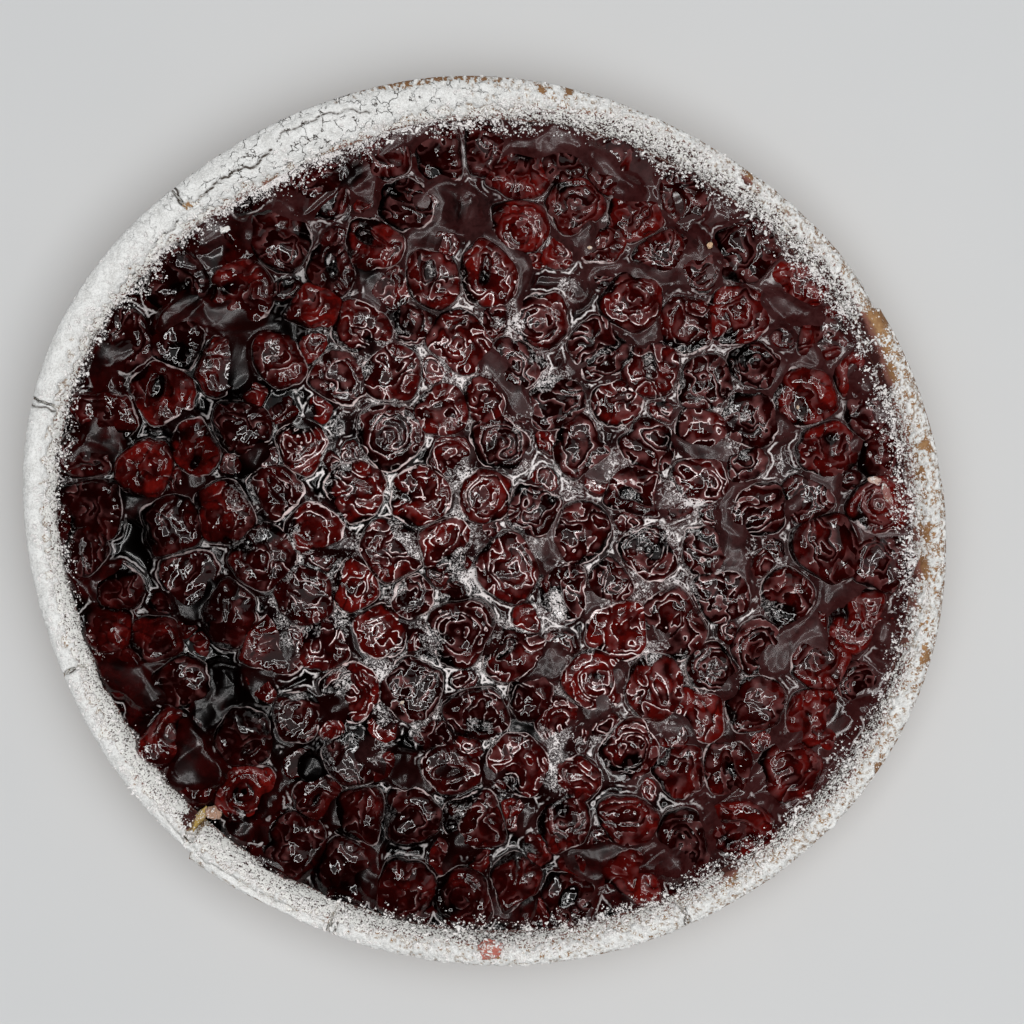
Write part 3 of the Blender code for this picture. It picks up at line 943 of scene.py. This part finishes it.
def make_cherries():
    """Each kind's cherries as one piece."""
    chance = random.Random(SHAPE_SEED)
    grid = bmesh.new()
    bmesh.ops.create_grid(grid, x_segments=CHERRY_GRID, y_segments=CHERRY_GRID, size=1)
    scrap_grid = bmesh.new()
    bmesh.ops.create_grid(scrap_grid, x_segments=SCRAP_GRID, y_segments=SCRAP_GRID, size=1)
    joined = {kind: bmesh.new() for kind in CHERRY_KINDS}
    scratch = bpy.data.meshes.new("one_cherry")
    for index, (_, kind) in enumerate(laid_cherries):
        bm = make_cherry(scrap_grid if kind == "torn" else grid, Cherry(index, chance))
        bm.to_mesh(scratch)
        bm.free()
        joined[kind].from_mesh(scratch)
    grid.free()
    scrap_grid.free()
    bpy.data.meshes.remove(scratch)
    material = cherry_material()
    for kind, bm in joined.items():
        finish_piece(f"{kind}_cherries", bm, material, "cherry_filling")


laid_cherries = lay_cherries()
laid_cherries += lay_scraps()
outlines = [cherry_outline(index) for index in range(len(laid_cherries))]
make_cherries()

# ----------------------------------------------------------------------------------------------------------
# The set juice.
# Cherry juice thickened with starch, poured over the cherries. It filled the case up to their shoulders,
# crept up their sides in a thin lip and set to a glossy skin, which is grainy in places.
# Its sheen, haze and pale lines are painted reflections, and its black places are painted shade.
# ----------------------------------------------------------------------------------------------------------

JUICE_GRID = 112  # squares across the juice's mesh, and each that shows is cut into 4 by 4
LIP_REACH = 1.0 * MM  # how far from a cherry the juice's lip falls to about a third
JUICE_TUCK = 0.6 * MM  # how far the juice reaches into the crust, so that no gap shows


def juice_lift(point, tree):
    """(how far the juice has crept up over its level here, how far the nearest cherry's side is)."""
    spread = film(point)
    height = lip_height(point)
    reach = LIP_REACH * (0.8 + 1.2 * spread)
    lift = 0
    nearest = 1
    for _, index, _ in tree.find_range(point, CHERRY_REACH):
        x, y = laid_cherries[index][0][:2]
        away = point.xy - Vector((x, y))
        out = away.length - read_outline(outlines[index], math.atan2(away.y, away.x))
        nearest = min(nearest, out)
        lift += math.exp(-max(out, 0) / reach)
    return height * (1 - math.exp(-1.2 * lift)) * 1.3, nearest


def juice_material():
    shading = Shading("set_juice", IOR=1.5, Specular_IOR_Level=0.3)
    broad = shading.noise(16 * MM, 3, 0.5)
    crept = shading.attribute("crept")
    # how strong the painted highlights and haze are: most in the middle of the pie
    first = shading.attribute("set")
    colour = shading.mix((crept * 0.4 + broad * 0.8).between(0.5, 1.1), JUICE_DARK_AND_SHADE, JUICE_CLEAR)
    # how much painted sheen lies here: most at the back right
    thick = shading.attribute("sheen_back_right")
    filmed = shading.attribute("filmed")
    mottled = shading.noise(2.4 * MM, 4, 0.7, 1).between(0.3, 0.66) * 0.55 + 0.45
    # Red flesh through the juice: more near the rim, and at the back right with the painted sheen.
    flesh = shading.noise(7 * MM, 3, 0.6, 0.8) + crept * 0.12 + thick * 0.18
    flesh = flesh + shading.attribute("shallow") * 0.2
    colour = shading.mix(flesh.between(0.7, 1) * mottled, colour, JUICE_OVER_FLESH)
    # A dusky painted sheen, standing for a reflection.
    sheen = shading.noise(12 * MM, 3, 0.55, 0.6) + crept * 0.1 + thick * 0.38
    colour = shading.mix(sheen.between(0.62, 1.12) * mottled, colour, JUICE_SHEEN)
    # Painted shade: the juice goes near black in the dark places.
    deep = shading.attribute("deep")
    colour = shading.mix(deep * 0.92, colour, JUICE_DARK_AND_SHADE)
    # Painted highlights: a pale line round each cherry a little way out, and pale grainy haze, most in the
    # middle.
    wander = shading.noise(2.6 * MM, 3, 0.6)
    away = shading.attribute("away") + (wander - 0.5) * 2
    meniscus_glint = 1 - abs(away - 0.6).between(0.05, 0.4)
    meniscus_glint = meniscus_glint * (shading.noise(5 * MM, 2, 0.7) - filmed * 0.2).between(0.4, 0.54)
    dull = painted_haze(shading, (first - 1) * 0.6 + meniscus_glint * 0.3)
    dull = shading.math("MAXIMUM", dull * 0.85, meniscus_glint * (first * 0.5 + 0.4)) * (1 - deep * 0.8)
    colour = shading.mix(dull, colour, HAZE_HIGHLIGHT)
    colour, dust = dust_over(shading, colour, shading.attribute("dusted"))
    matt = filmed * 0.11 + dull * 0.25 + dust * 0.5 + 0.09
    return shading.finish(Base_Color=colour, Roughness=matt, Normal=shading.bump(dust, 0.2 * MM))


def juice_place(vertex):
    """Where a point of the square grid comes to lie over the round filling."""
    spread = rounded(vertex)
    return spread * (filling_radius(math.atan2(spread.y, spread.x)) + CLEARANCE + JUICE_TUCK)


def make_juice():
    tree = kdtree.KDTree(len(laid_cherries))
    for index, ((x, y, *_), _) in enumerate(laid_cherries):
        tree.insert((x, y, 0), index)
    tree.balance()
    bm = bmesh.new()
    bmesh.ops.create_grid(bm, x_segments=JUICE_GRID, y_segments=JUICE_GRID, size=1)
    hidden = {vertex for vertex in bm.verts if juice_lift(juice_place(vertex), tree)[1] < -1.6 * MM}
    shown = [edge for edge in bm.edges if not hidden.issuperset(edge.verts)]
    bmesh.ops.subdivide_edges(bm, edges=shown, cuts=3, use_grid_fill=True)
    bmesh.ops.triangulate(bm, faces=[face for face in bm.faces if len(face.verts) > 4])
    names = ("crept", "dusted", "set", "away", "sheen_back_right", "filmed", "shallow", "deep")
    layers = {name: bm.verts.layers.float.new(name) for name in names}
    for vertex in bm.verts:
        point = juice_place(vertex)
        lift, away = juice_lift(point, tree)
        waves = 0.04 * MM * noise.noise(point / (9 * MM))
        at_rim = smooth_step(vertex.co.xy.length, 0.96, 1) * 1.6 * MM
        vertex[layers["crept"]] = clamped(lift / LIP_HEIGHT)
        vertex[layers["set"]] = highlight_share(point)
        vertex[layers["sheen_back_right"]] = sheen_back_right(point)
        vertex[layers["filmed"]] = film(point)
        vertex[layers["shallow"]] = smooth_step(vertex.co.xy.length, 0.8, 0.95)
        vertex[layers["deep"]] = dark_place_shade(point)
        vertex[layers["away"]] = min(away / MM, 9)
        vertex[layers["dusted"]] = fringe(point)
        vertex.co = point + Vector((0, 0, juice_level(point.x, point.y) + lift + waves + at_rim))
    rim = [edge for edge in bm.edges if edge.is_boundary]
    walls = bmesh.ops.extrude_edge_only(bm, edges=rim)["geom"]
    for item in walls:
        if isinstance(item, bmesh.types.BMVert):
            item.co = Vector((item.co.x * 0.97, item.co.y * 0.97, BASE_THICKNESS))
    bmesh.ops.contextual_create(bm, geom=[item for item in walls if isinstance(item, bmesh.types.BMEdge)])
    finish_piece("set_juice", bm, juice_material(), "cherry_filling")


make_juice()

# ----------------------------------------------------------------------------------------------------------
# Crumbs of pastry.
# A few flakes and crumbs broken off the rim lie on the filling and on the rim, and a piece of the rim leans
# in its widest break. Some are stained by the juice, and the sugar fell on them too.
# ----------------------------------------------------------------------------------------------------------

# Each crumb: x, y, length, width, height in millimetres, turn in degrees, colour
CRUMBS = (
    (-75, 84, 2.9, 1.7, 1.4, 20, (0.86, 0.85, 0.82)),
    (64.5, 79.5, 2.0, 1.6, 1.4, 40, (0.62, 0.42, 0.26)),
    (112, 12, 3.8, 2, 1.2, -12, (0.58, 0.40, 0.34)),
    (115.2, 8, 5.2, 2.3, 1.1, 105, (0.26, 0.11, 0.10)),
    (-78.5, -83.9, 4.8, 3.4, 3, 150, (0.40, 0.24, 0.17)),
    (-83, -86, 7.6, 2.6, 2.4, 53, (0.42, 0.29, 0.08)),
    (1.5, -122.5, 7, 5, 2.6, 10, (0.48, 0.15, 0.12)),
    (30, 79, 1.3, 1.0, 0.8, 0, (0.60, 0.45, 0.32)),
    (-24, -52, 1.2, 0.9, 0.7, 30, (0.66, 0.55, 0.45)),
    (90, 33, 1.1, 0.8, 0.7, 80, (0.60, 0.45, 0.32)),
)
CRUMB_DUSTED = (0.8, 0.78, 0.75)


def crumb_material():
    shading = Shading("pastry_crumb", Roughness=0.8, Specular_IOR_Level=0.25)
    colour = shading.add("ShaderNodeAttribute", {"attribute_name": "crumb_colour"}, output="Color")
    fine = shading.noise(0.8 * MM, 4, 0.65)
    broad = shading.noise(2.5 * MM, 3, 0.6)
    colour = shading.mix((fine * 0.6 + broad * 0.6).between(0.5, 0.85) * 0.75, colour, BAKED_DARK)
    grain = shading.noise(0.4 * MM, 2, 0.6)
    colour = shading.mix((grain * 0.6 + broad * 0.6).between(0.65, 0.7) * 0.8, colour, CRUMB_DUSTED)
    return shading.finish(Base_Color=colour, Normal=shading.bump(fine + broad * 0.5, 0.4 * MM))


def make_crumbs():
    graph = bpy.context.evaluated_depsgraph_get()
    bm = bmesh.new()
    colours = bm.verts.layers.float_color.new("crumb_colour")
    for x, y, length, width, height, turn, colour in CRUMBS:
        start = Vector((x * MM, y * MM, 60 * MM))
        _, place, *_ = bpy.context.scene.ray_cast(graph, start, (0, 0, -1))
        size = Matrix.Diagonal((length * MM / 2, width * MM / 2, height * MM / 2, 1))
        lie = Matrix.Translation(place + Vector((0, 0, height * MM * 0.2)))
        lie = lie @ Matrix.Rotation(math.radians(turn), 4, "Z") @ size
        for vertex in bmesh.ops.create_icosphere(bm, subdivisions=4, radius=1)["verts"]:
            point = vertex.co
            swell = 1 + 0.5 * noise.noise(point * 1.6 + start / MM) + 0.2 * noise.noise(point * 5)
            vertex.co = lie @ (point * swell)
            vertex[colours] = (*colour, 1)
    finish_piece("pastry_crumbs", bm, crumb_material())


make_crumbs()

# ----------------------------------------------------------------------------------------------------------
# The icing sugar.
# Sieved over the rim from the left after baking: thick on the left, where it took a skin and cracked, and
# only specks on the right. Loose lumps and grains of it lie on the rim and on the outermost cherries.
# ----------------------------------------------------------------------------------------------------------

COVER_STEPS = 1900  # points round the sugar's cover
COVER_SPACING = 0.43 * MM  # between the points of its section
COVER_THICKNESS = 0.85 * MM
COVER_LEAST = 0.13 * MM  # over the crust, in a crack
COVER_ROOT = 0.5 * MM  # how far its underside lies in the crust
# Cracks in the sugar, each with its share of the full depth, as points in millimetres
SUGAR_CRACKS = (
    (1, ((-92, 98), (-89, 95), (-87, 91), (-84, 91), (-80, 94),
         (-77, 97), (-71, 100.5), (-66, 102), (-60.5, 107))),
    (0.8, ((-59, 109.5), (-57, 112), (-50, 115), (-40, 118), (-33, 117))),
    (0.7, ((-105, 67), (-100, 72), (-97, 76), (-92, 82), (-88, 86))),
    (0.8, ((-131, 33), (-126, 33), (-123, 32))),
    (0.8, ((-122, -45), (-118, -42), (-114, -41))),
    (0.6, ((-104, -70), (-98, -76), (-93, -83), (-86, -92),
           (-78, -99), (-66, -106), (-55, -111), (-46, -114))),
    (0.9, ((-44, -120), (-43, -116), (-40, -112))),
    (0.9, ((58, -118), (57, -112), (57, -107))),
)
CRACK_WIDTH = 0.37 * MM  # from a crack's middle to where it is about a third as deep
CRAZED_AT = math.radians(111.5)  # where the sugar's skin is crazed all over
CRAZED_REACH = math.radians(53)  # how far round from there the crazing fades out

SUGAR_WHITE = (0.94, 0.935, 0.91)
SUGAR_GREY = (0.66, 0.65, 0.625)
# the crust in the sugar's cracks, darkened with painted shade
CRACK_DARK = (0.07, 0.052, 0.04)
SEEN_THROUGH = (0.35, 0.26, 0.19)  # the crust through thin sugar
LOOSE_GREY = (0.70, 0.66, 0.64)
LOOSE_WHITE = (0.88, 0.86, 0.84)


def crack_tree():
    """Points close along all the cracks, each found with its crack's depth."""
    points = []
    for depth, route in SUGAR_CRACKS:
        for (x1, y1), (x2, y2) in zip(route, route[1:]):
            count = round(math.hypot(x2 - x1, y2 - y1) / 0.25)
            for step in range(count):
                point = Vector((x1, y1, 0)).lerp(Vector((x2, y2, 0)), step / count)
                point += 1.1 * noise.noise_vector(point / 2.6).xy.to_3d()
                points.append((point * MM, depth))
    tree = kdtree.KDTree(len(points))
    for index, (point, _) in enumerate(points):
        tree.insert(point, index)
    tree.balance()
    return tree, [depth for _, depth in points]


def sugar_thickness(point, angle, inset, share):
    """How thick the sugar lies here. Where it is under nothing, the crust is bare."""
    fine = noise.noise(point / (1.15 * MM)) + 0.55 * noise.noise(point / (0.5 * MM))
    lumps = noise.noise(point / (2.4 * MM)) + 0.5 * noise.noise(point / (5 * MM))
    cover = 2 * share - 0.95
    clumps = 0.45 - noise.voronoi(point / (2.6 * MM))[0][0]
    crusted = smooth_step(share, 0.75, 1)
    margin = (sugar_margin(angle) + (0.8 + crusted) * lumps + 3.2 * clumps) * MM
    ragged = (1 - 0.45 * crusted) * MM
    cover -= 2.4 * smooth_step(inset, margin - 3.5 * ragged, margin + 2.5 * ragged)
    cover -= 1.5 * smooth_step(inset, 0.6 * MM, -0.1 * MM) * (1.55 - share)
    worn = worn_share(angle, inset)
    cover -= 1.4 * bare_share(point) + 1.15 * worn
    crumbly = (0.7 - 0.5 * crusted) * smooth_step(inset, margin - 4 * ragged, margin)
    rough = 1.15 - 0.85 * crusted + crumbly + worn
    patchy = 0.34 - 0.1 * crusted
    return (0.1 + 0.72 * cover + rough * fine + patchy * lumps) * COVER_THICKNESS


def sugar_material():
    shading = Shading("icing_sugar", Roughness=0.95, Specular_IOR_Level=0.15)
    fine = shading.noise(0.7 * MM, 4, 0.7)
    broad = shading.noise(3.5 * MM, 3, 0.6)
    grain = shading.noise(0.35 * MM, 2, 0.6)
    white = (fine * 0.7 + broad * 0.45 + grain * 0.25).between(0.5, 0.82)
    colour = shading.mix(white, SUGAR_GREY, SUGAR_WHITE)
    colour = shading.mix(shading.attribute("thin"), colour, SEEN_THROUGH)
    cells = shading.add(
        "ShaderNodeTexVoronoi",
        {"feature": "DISTANCE_TO_EDGE"},
        {"Vector": shading.warped(2.6 * MM, 2.5 * MM), "Scale": 1 / (5 * MM), "Detail": 2, "Roughness": 0.6},
    )
    # Cracks and crazing are painted near black, darker than the crust under them: painted shade in them.
    crazing = (1 - cells.between(0.002, 0.034)) * broad.between(0.42, 0.56) * 0.9
    crack = shading.attribute("crack") + crazing * shading.attribute("crazed")
    colour = shading.mix(crack.between(0.2, 0.8), colour, CRACK_DARK)
    relief = shading.bump(fine + broad * 0.8 - crack * 0.8, 0.6 * MM)
    return shading.finish(Base_Color=colour, Normal=relief)


def make_cover():
    outside = section_points(RIM_SECTION, COVER_SPACING)
    inside = [point + (RIM_CORE - point).normalized() * COVER_ROOT for point in outside[::-10]]
    section = outside + inside
    bm, number = ring_mesh(section, COVER_STEPS, closed=True)
    layers = {name: bm.verts.layers.float.new(name) for name in ("thin", "crack", "crazed")}
    cracks, depths = crack_tree()
    for vertex in bm.verts:
        inset, height = section[vertex[number]]
        angle = gathered(math.atan2(vertex.co.y, vertex.co.x))
        point = placed(inset, height, angle)
        if vertex[number] < len(outside):
            around = Vector((math.cos(angle), math.sin(angle), 0))
            out = (around * (RIM_CORE.x - inset) + Vector((0, 0, height - RIM_CORE.y))).normalized()
            real_inset = edge_radius(angle) - point.xy.length
            thickness = sugar_thickness(point, angle, real_inset, sugar_share(angle))
            _, index, away = cracks.find((point.x, point.y, 0))
            crack = math.exp(-((away / CRACK_WIDTH) ** 2)) * depths[index]
            broken = clamped(break_depth(angle, inset) / (1.5 * MM))
            vertex[layers["crack"]] = max(crack, broken)
            vertex[layers["thin"]] = smooth_step(thickness, 0.2 * MM, 0.02 * MM)
            thickness = max(thickness - 1.1 * MM * crack, min(thickness, COVER_LEAST)) - 0.8 * MM * broken
            point += out * (thickness - 0.05 * MM)
            vertex[layers["crazed"]] = near(turned_from(angle, CRAZED_AT), 0, CRAZED_REACH)
        vertex.co = point
    finish_piece("sugar_cover", bm, sugar_material())


def scatter(name, make_one, count, radii, material, density, seed):
    """Lumps of one shape at random places under the sieve, each resting on whatever is there."""
    chance = random.Random(seed)
    one = bmesh.new()
    make_one(one)
    stamp = bpy.data.meshes.new(name + "_stamp")
    one.to_mesh(stamp)
    one.free()
    bpy.context.view_layer.update()
    graph = bpy.context.evaluated_depsgraph_get()
    bm = bmesh.new()
    placed_count = 0
    while placed_count < count:
        angle = chance.uniform(0, 2 * math.pi)
        inset = chance.uniform(-0.3, 21) * MM
        away = edge_radius(angle) - inset
        start = Vector((away * math.cos(angle), away * math.sin(angle), 60 * MM))
        if chance.random() > density(start, angle, inset / MM):
            continue
        hit, place, *_ = bpy.context.scene.ray_cast(graph, start, (0, 0, -1))
        if not hit or place.z < 10 * MM:
            continue
        radius = radii[0] + (radii[1] - radii[0]) * chance.random() ** 2
        spin = Matrix.Rotation(chance.uniform(0, 2 * math.pi), 4, (chance.random(), chance.random(), 1))
        size = Matrix.Diagonal((radius, radius * chance.uniform(0.6, 1), radius * 0.75, 1))
        put = Matrix.Translation(place + Vector((0, 0, 0.25 * radius))) @ spin @ size
        stamp.transform(put)
        bm.from_mesh(stamp)
        stamp.transform(put.inverted())
        placed_count += 1
    bpy.data.meshes.remove(stamp)
    finish_piece(name, bm, material)


def clump_density(point, angle, inset):
    """The chance that sugar lies loose here: thickest just inside the cover, and in patches."""
    share = sugar_share(angle)
    wander = 4 * noise.noise(point / (15 * MM)) + 1.5 * noise.noise(point / (4 * MM))
    fine = noise.noise(point / (0.9 * MM)) + 0.7 * noise.noise(point / (2.6 * MM))
    patches = smooth_step(fine, -0.1, 0.35)
    depth = inset + wander - sugar_margin(angle)
    crusted = smooth_step(share, 0.75, 1)
    inside = 1.3 * smooth_step(depth, 7, -1.5) * smooth_step(depth, -5 + 3.5 * crusted, -2 + 2.5 * crusted)
    on_rim = smooth_step(depth, -1, -4) * (1.04 - share) * 0.6
    return patches * (inside * (0.25 + 0.7 * share) + on_rim) * (1 - 0.9 * bare_share(point))


def lump_density(point, angle, inset):
    """The chance of a larger lump: where the cover breaks up, most on the right and at the front."""
    patches = smooth_step(noise.noise(point / (2.2 * MM)) + 0.6 * noise.noise(point / (5 * MM)), -0.2, 0.3)
    depth = inset + 2.5 * noise.noise(point / (9 * MM)) - sugar_margin(angle)
    amount = (1.25 - 0.6 * sugar_share(angle)) * (1 - 0.9 * bare_share(point))
    return patches * smooth_step(depth, 4.5, 0) * smooth_step(depth, -6, -2) * amount


def lump_shape(bm):
    for x, y, z, radius in ((0, 0, 0, 0.75), (0.6, 0.3, -0.1, 0.55), (-0.4, -0.55, 0.1, 0.5)):
        bmesh.ops.create_icosphere(bm, subdivisions=1, radius=radius, matrix=Matrix.Translation((x, y, z)))


def grain_shape(bm):
    bmesh.ops.create_icosphere(bm, subdivisions=1, radius=1)


def speck_shape(bm):
    bmesh.ops.create_cone(bm, segments=3, radius1=1, radius2=0, depth=1.5, cap_ends=True)


def grain_material():
    shading = Shading("loose_sugar", Roughness=0.9, Specular_IOR_Level=0.2)
    fine = shading.noise(0.4 * MM, 2, 0.6)
    colour = shading.mix(fine.between(0.35, 0.6), LOOSE_GREY, LOOSE_WHITE)
    return shading.finish(Base_Color=colour, Normal=shading.bump(fine, 0.1 * MM))


make_cover()
loose_sugar = grain_material()
scatter("sugar_lumps", lump_shape, 2000, (0.4 * MM, 0.85 * MM), loose_sugar, lump_density, 20)
scatter("sugar_clumps", grain_shape, 9000, (0.16 * MM, 0.42 * MM), loose_sugar, clump_density, 21)
scatter("sugar_specks", speck_shape, 37000, (0.09 * MM, 0.24 * MM), loose_sugar, clump_density, 22)

# ----------------------------------------------------------------------------------------------------------
# The floor, the light and the camera.
# A pale matt table top in soft light from above. A square ring of lamps round the camera draws fine bright
# lines along the wet folds, and a faint panel beside it gives the sheen on the juice.
# ----------------------------------------------------------------------------------------------------------

CAMERA_AT = Vector((7.6 * MM, 2.8 * MM, 648 * MM))
LENS = 75.66  # millimetres
FLOOR_REACH = 3  # metres from the middle to each side
LAMP_HEIGHT = 655 * MM
RING_SIDES = (-115 * MM, 170 * MM, -140 * MM, 165 * MM)  # left, right, near and far side of the ring of lamps
RING_WIDE = 16 * MM
RING_GLOW = 75  # watts per square metre of lamp
VEIL = (150 * MM, 160 * MM, 500 * MM, 430 * MM)  # x, y, width and length of the faint panel beside the ring
VEIL_GLOW = 1.6
OVERHEAD_AT = (0.15, -0.1, 1.5)  # metres, as is its width
OVERHEAD_WIDE = 1.6
OVERHEAD_POWER = 25.4  # watts
LAMP_COLOUR = (1, 0.997, 0.995)
SKY_COLOUR = (0.9, 0.95, 1, 1)
SKY_GLOW = 0.26
FLOOR_GREY = (0.585, 0.59, 0.59)
FLOOR_PALE = (0.61, 0.612, 0.61)


def make_floor():
    shading = Shading("pale_table", Roughness=0.6, Specular_IOR_Level=0.2)
    cloud = shading.noise(60 * MM, 3, 0.5)
    colour = shading.mix(cloud, FLOOR_GREY, FLOOR_PALE)
    bm = bmesh.new()
    bmesh.ops.create_grid(bm, x_segments=1, y_segments=1, size=FLOOR_REACH)
    mesh = bpy.data.meshes.new("floor")
    bm.to_mesh(mesh)
    bm.free()
    mesh.materials.append(shading.finish(Base_Color=colour))
    floor = bpy.data.objects.new("floor", mesh)
    bpy.context.scene.collection.objects.link(floor)


def add_lamp(name, place, size, power, aim, seen_in):
    """A rectangular lamp turned to the aim, which lights matt things (diffuse) or shows in gloss (glossy)."""
    light = bpy.data.lights.new(name, "AREA")
    light.shape = "RECTANGLE"
    light.size, light.size_y = size
    light.energy = power
    light.color = LAMP_COLOUR
    lamp = bpy.data.objects.new(name, light)
    lamp.location = place
    lamp.rotation_euler = (Vector(aim) - Vector(place)).to_track_quat("-Z", "Y").to_euler()
    lamp.visible_camera = False
    lamp.visible_diffuse = seen_in == "diffuse"
    lamp.visible_glossy = seen_in == "glossy"
    bpy.context.scene.collection.objects.link(lamp)


def make_lights():
    left, right, near_side, far_side = RING_SIDES
    middle = Vector(((left + right) / 2, (near_side + far_side) / 2))
    across, along = right - left + RING_WIDE, far_side - near_side + RING_WIDE
    strips = (
        ("ring_right", (right, middle.y), (RING_WIDE, along)),
        ("ring_far", (middle.x, far_side), (across, RING_WIDE)),
        ("ring_left", (left, middle.y), (RING_WIDE, along)),
        ("ring_near", (middle.x, near_side), (across, RING_WIDE)),
    )
    for name, (x, y), size in strips:
        add_lamp(name, (x, y, LAMP_HEIGHT), size, RING_GLOW * size[0] * size[1], (x, y, 0), "glossy")
    x, y, width, length = VEIL
    add_lamp("veil", (x, y, LAMP_HEIGHT), (width, length), VEIL_GLOW * width * length, (x, y, 0), "glossy")
    add_lamp("overhead", OVERHEAD_AT, (OVERHEAD_WIDE, OVERHEAD_WIDE), OVERHEAD_POWER, (0, 0, 0), "diffuse")
    world = bpy.data.worlds.new("studio")
    world.use_nodes = True
    sky = world.node_tree.nodes["Background"]
    sky.inputs["Color"].default_value = SKY_COLOUR
    sky.inputs["Strength"].default_value = SKY_GLOW
    world.cycles_visibility.glossy = False
    bpy.context.scene.world = world
    bpy.context.scene.view_settings.view_transform = "Standard"


def make_camera():
    camera = bpy.data.objects.new("camera", bpy.data.cameras.new("camera"))
    camera.data.lens = LENS
    camera.data.clip_start = 0.01
    camera.location = CAMERA_AT
    bpy.context.scene.collection.objects.link(camera)
    bpy.context.scene.camera = camera


make_floor()
make_lights()
make_camera()
